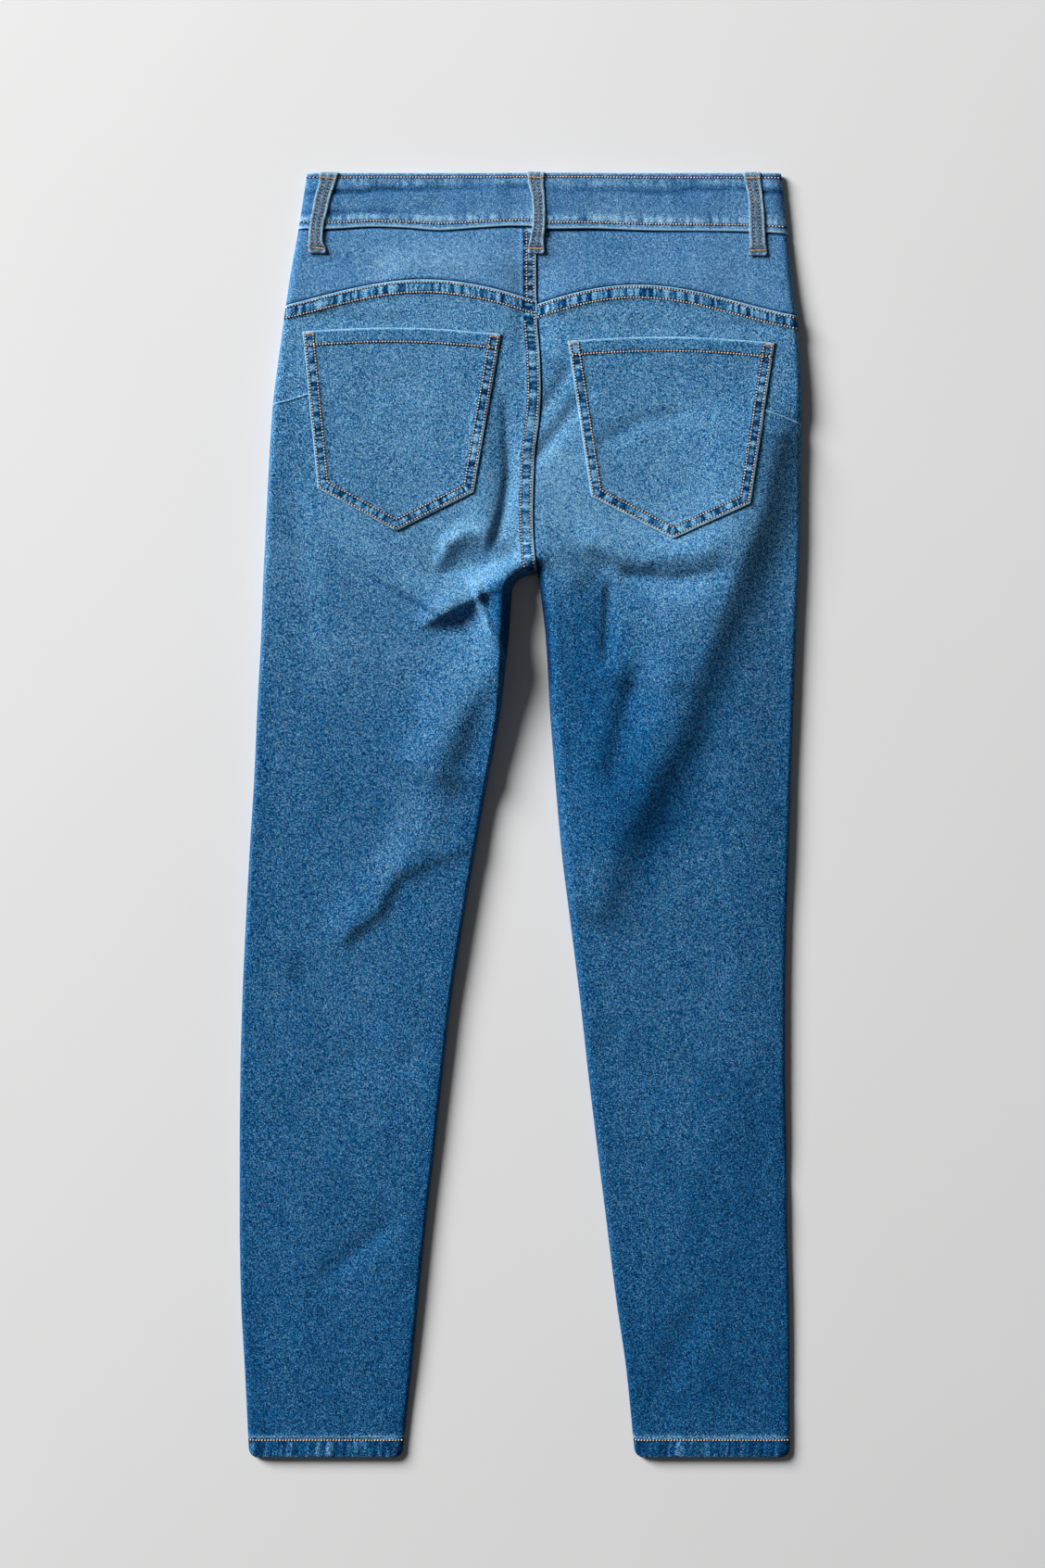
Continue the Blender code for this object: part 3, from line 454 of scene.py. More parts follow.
# name, path, paleness added, reach to the left of the path, reach to its right
MARKS = [
    ("seat, right, rubbed", [(0.030, 0.300), (0.045, 0.234), (0.097, 0.216), (0.146, 0.224)],
     0.10, 0.03, 0.026),
    ("seat, middle, rubbed", [(0.020, 0.270), (-0.010, 0.225), (-0.050, 0.215)], 0.10, 0.026, 0.026),
    ("left yoke, rubbed", [(-0.099, 0.416), (-0.043, 0.420)], 0.1, 0.014, 0.014),
    ("right yoke, dull", [(0.055, 0.427), (0.111, 0.423)], -0.03, 0.014, 0.014),
    ("left pocket, rubbed", [(-0.082, 0.336), (-0.085, 0.280)], 0.07, 0.026, 0.03),
    ("right pocket, rubbed", [(0.111, 0.301), (0.114, 0.266)], 0.04, 0.03, 0.034),
    ("under the left pocket, rubbed", [(-0.131, 0.213), (-0.085, 0.182), (-0.057, 0.161)],
     0.03, 0.02, 0.006),
    ("left crotch, rubbed", [(-0.001, 0.197), (-0.029, 0.178), (-0.057, 0.157)], 0.20, 0.007, 0.011),
    # Painted highlight on the lit outer side of the arch over the dimple.
    ("left crotch arch, painted highlight", [(-0.062, 0.192), (-0.057, 0.204), (-0.043, 0.216), (-0.028, 0.216)],
     0.12, 0.007, 0.006),
    ("left hip, dark", [(-0.173, 0.301), (-0.178, 0.224)], -0.1, 0.026, 0.026),
    ("right hip, dark", [(0.202, 0.301), (0.199, 0.203)], -0.09, 0.018, 0.026),
    ("right thigh, rubbed", [(0.111, 0.161), (0.097, 0.112)], 0.03, 0.03, 0.03),
    ("right thigh, shaded side", [(0.181, 0.196), (0.160, 0.133), (0.135, 0.063), (0.116, 0.021),
      (0.090, -0.035)], -0.08, 0.02, 0.014),
    ("left thigh, rubbed", [(-0.148, 0.126), (-0.064, 0.118), (-0.022, 0.122)], 0.07, 0.018, 0.03),
    ("left thigh, inner, rubbed", [(-0.043, 0.091), (-0.064, 0.056)], 0.06, 0.008, 0.016),
    ("left knee, rubbed", [(-0.078, 0.007), (-0.099, -0.035)], 0.08, 0.012, 0.018),
    ("left shin, rubbed", [(-0.130, -0.100), (-0.120, -0.220)], 0.03, 0.035, 0.035),
    ("right shin, rubbed", [(0.095, -0.205), (0.130, -0.240)], 0.04, 0.03, 0.03),
    # Painted highlight along the lit crest of the pinch.
    ("left inner thigh, pinch, painted highlight", [(-0.029, 0.158), (-0.025, 0.141), (-0.017, 0.130),
      (-0.012, 0.119)], 0.20, 0.0014, 0.0020),
    # Painted shade on the plane beside the gap, which faces away from the light.
    ("left inner thigh, plane, painted shade", [(-0.015, 0.162), (-0.012, 0.146), (-0.009, 0.123)], -0.24, 0.010, 0.010),
    # Painted shadow under the rolled edge of the right inseam.
    ("right inseam, painted shadow", [(0.015, 0.179), (0.017, 0.154), (0.020, 0.118)], -0.42, 0.0030, 0.0030),
    ("right thigh, dark", [(0.045, 0.160), (0.066, 0.060), (0.084, -0.010)], -0.17, 0.044, 0.034),
    ("right calf, dark", [(0.160, -0.200), (0.140, -0.440)], -0.06, 0.050, 0.050),
    ("left crotch, hollow, rubbed", [(-0.085, 0.176), (-0.045, 0.190)], 0.08, 0.012, 0.012),
    ("left hip, low, dull", [(-0.150, 0.205), (-0.138, 0.176)], -0.05, 0.016, 0.016),
    ("right seat, low, dull", [(0.104, 0.192), (0.164, 0.186)], -0.05, 0.014, 0.014),
    ("left seat, dull", [(-0.012, 0.305), (-0.014, 0.255)], -0.05, 0.010, 0.010),
    # Painted shade in the crease.
    ("left crotch, crease, painted shade", [(-0.064, 0.151), (-0.090, 0.166), (-0.110, 0.178)], -0.16, 0.0016, 0.0022),
]
# The narrow line at the inseams is painted shade on their rounded edges.
SIDE_DARKER, SIDE_REACH = 0.06, 0.012         # the cloth gets darker towards its folded sides,
INSEAM_PAINTED_SHADE, INSEAM_REACH = 0.06, 0.0022    # and once more in a narrow line at the inseams
MARK_END = 0.016          # how far a mark takes to die out past the ends of its path
# How uneven the wash is, in streaks down the leg: step across, step along, paleness
STREAKS = [(0.012, 0.060, 0.020), (0.005, 0.030, 0.012)]


# Paleness of the wash, with the painted shade, shadow and highlights of some marks and of the inseams.
def wash_and_painted_light(points, distances=None):
    to_side, to_inseam = edge_distances(points) if distances is None else distances
    pale = column(WASH, 1)(points[:, 1])
    for _, path, amount, left_reach, right_reach in MARKS:
        pale = pale + fold_height(points, path, amount, left_reach, right_reach, end=MARK_END)
    pale = pale - SIDE_DARKER * bell(np.minimum(to_side, to_inseam), SIDE_REACH)
    pale = pale - INSEAM_PAINTED_SHADE * bell(to_inseam, INSEAM_REACH)
    for seed, (across, along, amount) in enumerate(STREAKS):
        pale = pale + amount * uneven(points, (across, along), 31 + seed)
    return pale


def lie_of(plan):
    """Over a grid in plan: how far in from the folded edges, the cloth's height, and its wash with painted
    light.
    """
    points = plan.reshape(-1, 2)
    distances = edge_distances(points)
    found = np.minimum(*distances), upper_height(points, distances), wash_and_painted_light(points, distances)
    return [values.reshape(plan.shape[:2]) for values in found]


print("paleness from", min(v for _, v in WASH), "to", max(v for _, v in WASH))

# %% [markdown]
# ## Making cloth from a grid of points
# Each piece of cloth is a grid of points, a row across the cloth for each line of a table. The
# points lie closer where the cloth turns at a folded side, and next to seams. A Solidify
# modifier gives the grid the thickness of denim, and keeps the three numbers of each point.


# %% From grids to pieces
DENIM_THICKNESS = 0.0011
GRIDS = {}                # the outer points of each piece, for laying stitches on it


def add_mesh(name, bm, *looks):
    mesh = bpy.data.meshes.new(name)
    bm.to_mesh(mesh)
    bm.free()
    for look in looks:
        mesh.materials.append(look)
    mesh.shade_smooth()
    made = bpy.data.objects.new(name, mesh)
    bpy.context.scene.collection.objects.link(made)
    print(name, len(mesh.polygons), "faces")
    return made


def give_numbers(made, **numbers):
    """Stores a number for each point of a mesh, under a name that its finish reads."""
    for label, values in numbers.items():
        attribute = made.data.attributes.new(label, "FLOAT", "POINT")
        attribute.data.foreach_set("value", np.asarray(values, np.float32).ravel())


def grid_faces(rows, columns, closed=False):
    last = columns if closed else columns - 1
    i, j = np.meshgrid(np.arange(rows - 1), np.arange(last), indexing="ij")
    k = (j + 1) % columns
    corners = [i * columns + j, (i + 1) * columns + j, (i + 1) * columns + k, i * columns + k]
    return np.stack([c.ravel() for c in corners], 1)


def cloth(name, grid, thickness=DENIM_THICKNESS, facing=1.0, looks=(), **numbers):
    """A thin shell whose outer side is the grid. facing is 1 for cloth that faces up."""
    rows, columns = grid.shape[:2]
    bm = bmesh.new()
    verts = [bm.verts.new(p) for p in grid.reshape(-1, 3)]
    for face in grid_faces(rows, columns):
        bm.faces.new([verts[k] for k in face])
    bm.normal_update()
    if sum((face.normal.z for face in bm.faces), 0.0) * facing < 0:
        bmesh.ops.reverse_faces(bm, faces=bm.faces)
    made = add_mesh(name, bm, *looks)
    give_numbers(made, **numbers)
    shell = made.modifiers.new("cloth", "SOLIDIFY")
    shell.thickness = thickness
    shell.offset = -1.0
    shell.material_offset = 1
    shell.material_offset_rim = 0
    GRIDS[name] = grid
    return made


print("cloth thickness:", DENIM_THICKNESS)

# %% [markdown]
# ## Finding a point on a piece
# Stitches and seam ridges have to lie on cloth that is already made. A Shrinkwrap modifier would
# pull a whole mesh there. A ray that is dropped on the piece's own grid gives one point and the
# way the cloth faces, which is what a single stitch needs.

# %% A ray dropped on a piece
RAY_START = 0.2           # how far above or below the table the rays start
TREES = {}


def tree_of(name):
    """A piece's outer side, for finding the point of it under or over a place in plan."""
    if name not in TREES:
        grid = GRIDS[name]
        faces = grid_faces(*grid.shape[:2], closed=name.startswith("cuff"))
        TREES[name] = BVHTree.FromPolygons(grid.reshape(-1, 3).tolist(), faces.tolist())
    return TREES[name]


def drop(name, place, down=True):
    """The highest point of a piece over a place in plan, or its lowest from below."""
    start = Vector((place[0], place[1], RAY_START if down else -RAY_START))
    hit = tree_of(name).ray_cast(start, Vector((0, 0, -1 if down else 1)))
    return hit[0], hit[1]


print("rays start", RAY_START, "from the table")

# %% [markdown]
# ## The points of a panel
# A table line gives the y at the side and at the middle, and how far the line bows between them.
# Evenly spaced points would be wasted on flat cloth, so they are close together only at the
# folded side, along the seams and, a little, towards the middle of the jeans.


# %% Points of a panel
def finer(lines, step):
    """The lines of a table, with more between them, so that none are further apart than step."""
    out = [np.array(lines[0], float)]
    for here, there in zip(lines[:-1], lines[1:]):
        here, there = np.array(here, float), np.array(there, float)
        parts = max(1, math.ceil(np.abs(there - here)[:2].max() / step - 1e-6))
        out += [here + (there - here) * k / parts for k in range(1, parts + 1)]
    return out


# How far in from a folded side, and from a seam, the first points of a row lie
SIDE_STEPS = np.array([0.0, 0.0003, 0.0009, 0.0018, 0.0030, 0.0046, 0.0066, 0.0090])
SEAM_STEPS = np.array([0.0, 0.0004, 0.0010, 0.0016, 0.0022, 0.0028, 0.0036, 0.0048, 0.0062, 0.0076,
                       0.0086, 0.0094, 0.0102, 0.0114, 0.0132])
SKEW = {"left": 1.1, "right": 1.25}     # puts the highest point of a side's bowed lines off their middle
GRADE = 0.30              # how much closer the points of a row get towards the middle of the jeans


def line_points(side, line, share):
    """Points of one line of a panel, at shares of its width: y at the side, y at the middle, bow."""
    outer_y, middle_y, bow = line
    outer_x, inner_x = float(OUTER[side](outer_y)), float(middle_x(side, middle_y))
    share = np.asarray(share, float)
    y = outer_y + (middle_y - outer_y) * share + bow * np.sin(math.pi * share ** SKEW[side])
    return np.stack([outer_x + (inner_x - outer_x) * share, y], -1)


def panel(side, lines, inner=SEAM_STEPS, middle=98):
    """Points of a panel in plan, a row for each line. It also gives how far each point is from
    the side, and the width of each row."""
    plan, from_side, widths = [], [], []
    for line in lines:
        outer_x, inner_x = float(OUTER[side](line[0])), float(middle_x(side, line[1]))
        width = abs(inner_x - outer_x)
        even = np.linspace(0, 1, middle + 2)[1:-1]
        graded_share = even * (1 + GRADE) - GRADE * even**2
        between = SIDE_STEPS[-1] + (width - inner[-1] - SIDE_STEPS[-1]) * graded_share
        station = np.concatenate([SIDE_STEPS, between, width - inner[::-1]])
        y = line_points(side, line, station / width)[:, 1]
        plan.append(np.column_stack([outer_x + TOWARDS_MIDDLE[side] * station, y]))
        from_side.append(station)
        widths.append(width)
    return np.array(plan), np.array(from_side), np.array(widths)[:, None]


print("points at a folded side:", len(SIDE_STEPS), "and at a seam:", len(SEAM_STEPS))

# %% [markdown]
# ## The seams
# The yoke and seat seams are lapped: one edge is folded under, laid on its neighbour and sewn
# with two rows. The fold stands up as a bright worn edge, each row of stitches pulls a groove,
# and the cloth between the rows puffs up and puckers. The grooves and the foot of the folded
# edge are darkened with painted shade. The same profile also serves the pockets.

# %% Profile of a lapped seam
LAP_RISE = 0.0013         # the folded edge of a lapped seam stands this far up
EDGE_ROUND = 0.0011
ROW_NEAR = 0.0021         # first row of stitches, from the folded edge
ROW_GROOVE = 0.00045
GROOVE_REACH = 0.0010
PUCKER_STEP = 0.0042
PUCKER_RISE = 0.00030
EDGE_WORN = 0.62
# Painted shade where a folded edge meets the cloth it lies on, and beside edges that other panels go in
# under.
EDGE_PAINTED_SHADE = 0.50
ROW_PAINTED_SHADE, ROW_REACH = 0.60, 0.00076     # painted shade in the groove under a row of stitches
TUCK_DEPTH = 0.0007       # a panel dips this far where it goes in under its neighbour,
TUCK_REACH = 0.0016       # and starts to dip this far away from it


def lapped(s, far_row, along, rise=LAP_RISE, seed=5):
    """Height, paleness and seam share at s from the folded edge, along metres down the seam."""
    flat = 1 - smooth_step((s - far_row) / 0.0035)
    between = smooth_step((s - ROW_NEAR) / 0.0015) * (1 - smooth_step((s - far_row + 0.0005) / 0.0020))
    grooves = sum(bell(s - row, GROOVE_REACH) for row in (ROW_NEAR, far_row))
    pucker = uneven_over(along, np.zeros(s.shape), (PUCKER_STEP, 1.0), seed)
    height = rise * roll(s, EDGE_ROUND) * flat - ROW_GROOVE * grooves + PUCKER_RISE * pucker * between
    # Painted shade at the foot of the folded edge and in the grooves under the rows; the edge itself is
    # worn pale.
    pale = edge_wear_and_painted_shade(s) - row_shade(s, ROW_NEAR, far_row) - 0.10 * between + 0.12 * pucker * between
    return height, pale, between


def row_shade(s, *rows):
    return ROW_PAINTED_SHADE * sum(bell(s - row, ROW_REACH) for row in rows)


def edge_wear_and_painted_shade(s):
    """A folded edge is worn nearly white in a line, with painted shade where it meets what it lies on."""
    worn = 1 - smooth_step((s - 0.0012) / 0.0010)
    return EDGE_WORN * worn - (EDGE_WORN + EDGE_PAINTED_SHADE) * (1 - smooth_step(s / 0.0003))


def tucked(s, depth=TUCK_DEPTH):
    """How far a panel dips where it goes in under its neighbour's folded edge, s away."""
    return -depth * bell(s, TUCK_REACH)


print("a lapped edge stands", LAP_RISE * 1000, "mm up")

# %% [markdown]
# ## Shader arithmetic
# A material's nodes read like a formula when each socket can be added and multiplied. One small
# class does that. It also makes every other node, from its type, its settings and its inputs.


# %% Sockets as numbers
class Wire:
    """A socket of a material, or with no socket the place where its nodes start."""

    def __init__(self, tree, socket=None):
        self.tree, self.socket = tree, socket

    def node(self, kind, settings=None, inputs=None, output=0):
        made = self.tree.nodes.new(kind)
        for label, value in (settings or {}).items():
            if label == "stops":
                ramp = made.color_ramp
                while len(ramp.elements) < len(value):
                    ramp.elements.new(0.5)
                for stop, (position, colour) in zip(ramp.elements, value):
                    stop.position, stop.color = position, (*colour, 1.0)
            else:
                setattr(made, label, value)
        for label, value in (inputs or {}).items():
            feed(self.tree, made.inputs[label], value)
        return Wire(self.tree, made.outputs[output])

    def beside(self, output):
        """Another output of the node that this socket belongs to."""
        return Wire(self.tree, self.socket.node.outputs[output])

    def math(self, operation, first, second=0.0):
        return self.node("ShaderNodeMath", {"operation": operation}, {0: first, 1: second})

    def noise(self, scale, **inputs):
        return self.node("ShaderNodeTexNoise", inputs={"Vector": self, "Scale": scale, **inputs})

    def ramp(self, stops):
        return self.node("ShaderNodeValToRGB", {"stops": stops}, {"Fac": self})

    def __add__(self, other):
        return self.math("ADD", self, other)

    __radd__ = __add__

    def __sub__(self, other):
        return self.math("SUBTRACT", self, other)

    def __rsub__(self, other):
        return self.math("SUBTRACT", other, self)

    def __mul__(self, other):
        return self.math("MULTIPLY", self, other)

    __rmul__ = __mul__


def feed(tree, socket, value):
    if isinstance(value, Wire):
        tree.links.new(value.socket, socket)
    else:
        socket.default_value = value


def finish_of(name, **constants):
    """A new material with constants set: its place on the object, and a call that feeds its shader."""
    made = bpy.data.materials.new(name)
    made.use_nodes = True
    shader = made.node_tree.nodes["Principled BSDF"]
    for label, value in constants.items():
        shader.inputs[label.replace("_", " ")].default_value = value
    place = Wire(made.node_tree).node("ShaderNodeTexCoord", output="Object")

    def shade(**varying):
        for label, value in varying.items():
            feed(made.node_tree, shader.inputs[label.replace("_", " ")], value)
        return made

    return place, shade


def from_srgb(*eight_bit):
    """A colour as a screen shows it, turned into the light that a material reflects."""
    return tuple((c / 255 / 12.92) if c < 10 else ((c / 255 + 0.055) / 1.055) ** 2.4 for c in eight_bit)


print("operators: + - *")

# %% [markdown]
# ## Denim
# Denim is a twill: blue warp threads over a white weft, so close up it is never one blue but a
# speckle of dark and pale dots, with faint slubs running along the leg and a fine diagonal. An
# image could give that only at one scale. Noise at the size of the threads gives it everywhere,
# and the three numbers carried by the cloth move the speckle along one ramp from raw indigo to
# worn white.

# %% Denim finish
INDIGO = [
    (0.00, from_srgb(20, 32, 62)),
    (0.20, from_srgb(30, 65, 105)),
    (0.38, from_srgb(27, 88, 142)),
    (0.56, from_srgb(52, 116, 171)),
    (0.76, from_srgb(90, 151, 201)),
    (1.00, from_srgb(170, 211, 234)),
]
# Belt loops are rubbed from both sides, so their indigo is greyer
GREYED = [
    (0.00, from_srgb(14, 30, 52)),
    (0.30, from_srgb(46, 76, 104)),
    (0.56, from_srgb(86, 124, 156)),
    (0.80, from_srgb(136, 174, 202)),
    (1.00, from_srgb(182, 210, 228)),
]
REVERSE = [(0.0, from_srgb(70, 92, 120)), (1.0, from_srgb(150, 165, 182))]
WEAVE_CELL = 0.00037      # size of one speck of the weave
WEAVE_DRAWN = 1.3         # and how much longer it is along the twill's diagonal
# How many slubs, weft threads, clouds of dye and seam marks there are in a metre
SLUBS, WEFTS, CLOUDS, SEAM_MARKS = 560.0, 640.0, 45.0, 260.0
TWILL = 3700.0            # radians of the twill's lines in a metre


def denim(name, stops, along=(1.0, 0.10, 1.0), contrast=1.0, base=None):
    """along says how much each axis is drawn out by the slubs of the yarn: 0.1 is ten times.
    contrast is how strongly its speckle shows: a yoke's cloth is rubbed smoother than a leg's."""
    place, shade = finish_of(
        name, Roughness=0.92, Sheen_Weight=0.04, Sheen_Roughness=0.45, Specular_IOR_Level=0.08
    )

    def noise(scale, stretch=(1.0, 1.0, 1.0), detail=1.0):
        drawn = place.node("ShaderNodeMapping", inputs={"Vector": place, "Scale": stretch})
        return drawn.noise(scale, Detail=detail, Roughness=0.6)

    def carried(label):
        return place.node("ShaderNodeAttribute", {"attribute_name": label}, output="Fac")

    # a random colour for each little cell of the weave, drawn out along the twill's diagonal
    drawn = place.node("ShaderNodeMapping", {"vector_type": "TEXTURE"}, {
        "Vector": place, "Rotation": (0.0, 0.0, -math.pi / 4), "Scale": (WEAVE_DRAWN, 1.0, 1.0)})
    weave = place.node(
        "ShaderNodeTexVoronoi", inputs={"Vector": drawn, "Scale": 1 / WEAVE_CELL}, output="Color")
    weave = place.node("ShaderNodeSeparateColor", inputs={0: weave})
    slub, weft = noise(SLUBS, along) - 0.5, noise(WEFTS, along[1::-1] + (1.0,)) - 0.5
    cloud = noise(CLOUDS, detail=2.0) - 0.5
    axes = place.node("ShaderNodeSeparateXYZ", inputs={0: place})
    rising = axes + axes.beside("Y")
    twill = place.math("SINE", rising * TWILL + (noise(1250.0) - 0.5) * 6.0)
    grain = ((weave - 0.5) * 1.24 + slub * 0.08 + weft * 0.05) * contrast + twill * 0.05
    if base is None:
        marks = place.node(
            "ShaderNodeTexNoise", {"noise_dimensions": "2D"},
            {"Vector": place.node("ShaderNodeCombineXYZ",
                                  inputs={0: carried("along") * SEAM_MARKS, 1: cloud * 2.0}),
             "Scale": 1.0, "Detail": 1.0},
        )
        marks = place.node("ShaderNodeMapRange", inputs={"Value": marks, 1: 0.36, 2: 0.64, 3: -1.0, 4: 1.0})
        tone = carried("pale") + carried("seam") * marks * 0.44 + grain + cloud * 0.06
    else:
        tone = grain + cloud * 0.3 + base
    colour = place.node("ShaderNodeHueSaturation", inputs={
        "Color": tone.ramp(stops), "Hue": (weave.beside("Green") - 0.5) * 0.05 + 0.5,
        "Saturation": 0.78 + 0.34 * contrast})
    bumped = place.node("ShaderNodeBump", inputs={"Strength": 0.55, "Distance": 0.00030, "Height": grain})
    return shade(Base_Color=colour, Normal=bumped)


FACE = denim("denim, warp down the leg", INDIGO)
FACE_SMOOTH = denim("denim, warp down the yokes", INDIGO, contrast=0.64)
FACE_ACROSS = denim("denim, warp along the band", INDIGO, along=(0.10, 1.0, 1.0), contrast=0.60)
WORN = denim("denim, worn belt loops", GREYED, contrast=0.6)
BACK = denim("denim, reverse side", REVERSE, base=0.45)
LOOKS = (FACE, BACK)
print("denim finishes:", [made.name for made in (FACE, FACE_SMOOTH, FACE_ACROSS, WORN, BACK)])

# %% [markdown]
# ## Leg backs
# A leg back runs from the yoke seam to the hem, and its inner edge is first the seat seam, then
# the inseam. Its top edge is lapped over the yoke, and the left leg's inner edge is lapped over
# the right one down the seat, so both seams are part of this piece's own cloth, not strips
# laid on it. Rows of points are a millimetre apart at the seam and wider below.

# %% Leg backs
WAIST_LINE = {"left": (0.4428, 0.4440, 0.0), "right": (0.4387, 0.4437, 0.0)}
YOKE_LINE = {"left": (0.3850, 0.3885, 0.0175), "right": (0.3770, 0.3860, 0.0180)}
LEG_LINES = [
    (0.3000, 0.3000, 0.0040),
    (0.2180, 0.2080, 0.0000),
    (0.1960, 0.1935, 0.0000),
    (0.1885, 0.1860, 0.0000),
    (0.1855, 0.1830, 0.0000),
    (0.1785, 0.1790, 0.0000),
    (0.1670, 0.1700, 0.0000),
    (0.1560, 0.1600, 0.0000),
    (0.1300, 0.1400, 0.0000),
]
YOKE_FAR_ROW = 0.0098     # second row of stitches, from the folded edge
SEAT_FAR_ROW = 0.0094
BAND_DEPTH = 0.0150       # the rows of points are close together down to here


def moved(line, by):
    return line[0] + by, line[1] + by, line[2]


def level(y):
    return y, y, 0.0


def yoke_slope(side, share):
    """Cosine of the yoke seam's slope at shares of its width."""
    step = 0.002
    ends = [line_points(side, YOKE_LINE[side], np.clip(share + k * step, 0, 1)) for k in (-1, 1)]
    run = ends[1] - ends[0]
    return np.abs(run[..., 0]) / np.linalg.norm(run, axis=-1)


def seam_numbers(side, plan, station, width, over_yoke):
    """Height, paleness, seam share and run of the two lapped seams over a panel's points."""
    share = station / width
    x, y = plan[..., 0], plan[..., 1]
    line_y = line_points(side, YOKE_LINE[side], share.ravel())[:, 1].reshape(share.shape)
    below_line = (line_y - y) * yoke_slope(side, share)
    inward = width - station
    on_seat = y >= CROTCH_Y - 0.002
    if over_yoke:
        seed = 5 if side == "left" else 6
        rise, pale, seam = lapped(np.maximum(below_line, 0), YOKE_FAR_ROW, x, seed=seed)
    else:
        # A yoke dips in under the leg's folded edge and gets painted shade beside it.
        rise, pale, seam = tucked(below_line), -EDGE_PAINTED_SHADE * bell(below_line, 0.0011), np.zeros(share.shape)
    # Down the seat the right panel dips in under the left one's folded edge and gets painted shade beside
    # it.
    if side == "right":
        near = np.where(on_seat, bell(inward, 0.0012), 0.0)
        return rise - TUCK_DEPTH * near, pale - EDGE_PAINTED_SHADE * near, seam, x
    up, paler, shares = lapped(inward, SEAT_FAR_ROW, y, seed=7)
    here = on_seat & (inward < 0.016)
    fade = smooth_step((y - CROTCH_Y) / 0.004)
    take = here & (up * fade > rise)
    rise = np.where(here, np.maximum(rise, up * fade), rise)
    pale = np.where(here, pale + paler * fade, pale)
    seam = np.where(take, shares, seam)
    return rise, pale, seam, np.where(take & (seam > 0), y + 3.0, x)


def leg_back(side):
    thigh, hem = level(0.0550), level(HEM_TOP)
    band = [moved(YOKE_LINE[side], -fall) for fall in (*SEAM_STEPS, BAND_DEPTH)]
    seat = finer([band[-1], *LEG_LINES[:2]], 0.0022)[1:]
    crotch = finer(LEG_LINES[1:-1], 0.0009)[1:] + finer([*LEG_LINES[-2:], thigh], 0.0014)[1:]
    leg = finer([thigh, moved(hem, 0.0060)], 0.0039)[1:]
    leg += finer([leg[-1], hem], 0.0008)[1:]
    plan, station, width = panel(side, band + seat + crotch + leg)
    rise, pale, seam, run = seam_numbers(side, plan, station, width, over_yoke=True)
    from_edge, height, washed_with_painted_light = lie_of(plan)
    y = plan[..., 1]
    ragged = 0.0021 + 0.0010 * uneven_over(plan[..., 0], y, (0.006, 1.0), 33)
    return cloth(f"leg_back_{side}", np.dstack([plan, height + rise * roll(from_edge, 0.003)]), looks=LOOKS,
                 pale=pale + washed_with_painted_light + 0.50 * bell(y - HEM_TOP, ragged), seam=seam, along=run)


for side in ("left", "right"):
    leg_back(side)

# %% [markdown]
# ## Yokes
# The yokes are the two curved pieces between the waistband and the leg backs, which give the
# seat its shape. They are made as the legs are. Their lower edge dips in under the leg's lap,
# and their upper edge under the waistband; the dip and a line of painted shade draw the dark
# line beside each seam.


# %% The lower edge of the waistband, which the yokes go in under
FRONT_CLOSURE_X = 0.0120
# x, how far the band's lower edge sags there
BAND_SAG = [
    (-0.168, 0.0), (-0.146, 0.0006), (-0.113, -0.0009), (-0.0875, 0.0), (-0.061, 0.0021), (-0.029, 0.0002),
    (-0.008, -0.0008), (0.0056, -0.0005), (0.0196, 0.0014), (0.0595, 0.0002), (0.0945, 0.0005),
    (0.1295, -0.0002), (0.170, -0.0008), (0.1855, -0.0006), (0.1995, 0.0)]
# x, how far below the top edge its long crease runs, and how sharp it is
BAND_CREASE = [
    (-0.168, 0.0150, 0.3), (-0.140, 0.0143, 1.0), (-0.120, 0.0143, 1.0), (-0.107, 0.0121, 0.8),
    (-0.092, 0.0125, 0.9), (-0.083, 0.0130, 0.8), (-0.068, 0.0116, 0.7), (-0.053, 0.0116, 0.35),
    (-0.035, 0.0110, 0.35), (-0.006, 0.0104, 0.6), (0.006, 0.0108, 0.8), (0.012, 0.0120, 0.3),
    (0.038, 0.0140, 0.25), (0.052, 0.0130, 0.45), (0.078, 0.0130, 0.45), (0.088, 0.0140, 0.6),
    (0.118, 0.0140, 0.6), (0.125, 0.0119, 0.6), (0.165, 0.0112, 0.8), (0.181, 0.0133, 1.0),
    (0.200, 0.0133, 0.8)]
SAG = column(BAND_SAG, 1)
CREASE_FALL, CREASE_DEPTH = column(BAND_CREASE, 1), column(BAND_CREASE, 2)


def band_y(x, share):
    """y of the band at x, from its top edge (0) to its lower edge (1)."""
    lines = (WAIST_LINE["left"][0], WAIST_LINE["left"][1], WAIST_LINE["right"][0])
    ends = [WAIST_TOP + (line - WAIST_TOP) * share for line in lines]
    at = [float(OUTER["left"](ends[0])), FRONT_CLOSURE_X, float(OUTER["right"](ends[2]))]
    return np.interp(x, at, ends) - SAG(x) * share**2


print("the band's lower edge at the middle:", round(float(band_y(0.0, 1.0)), 4))


# %% Yokes
UNDER_BAND = 0.0022       # a yoke reaches this far up under the band


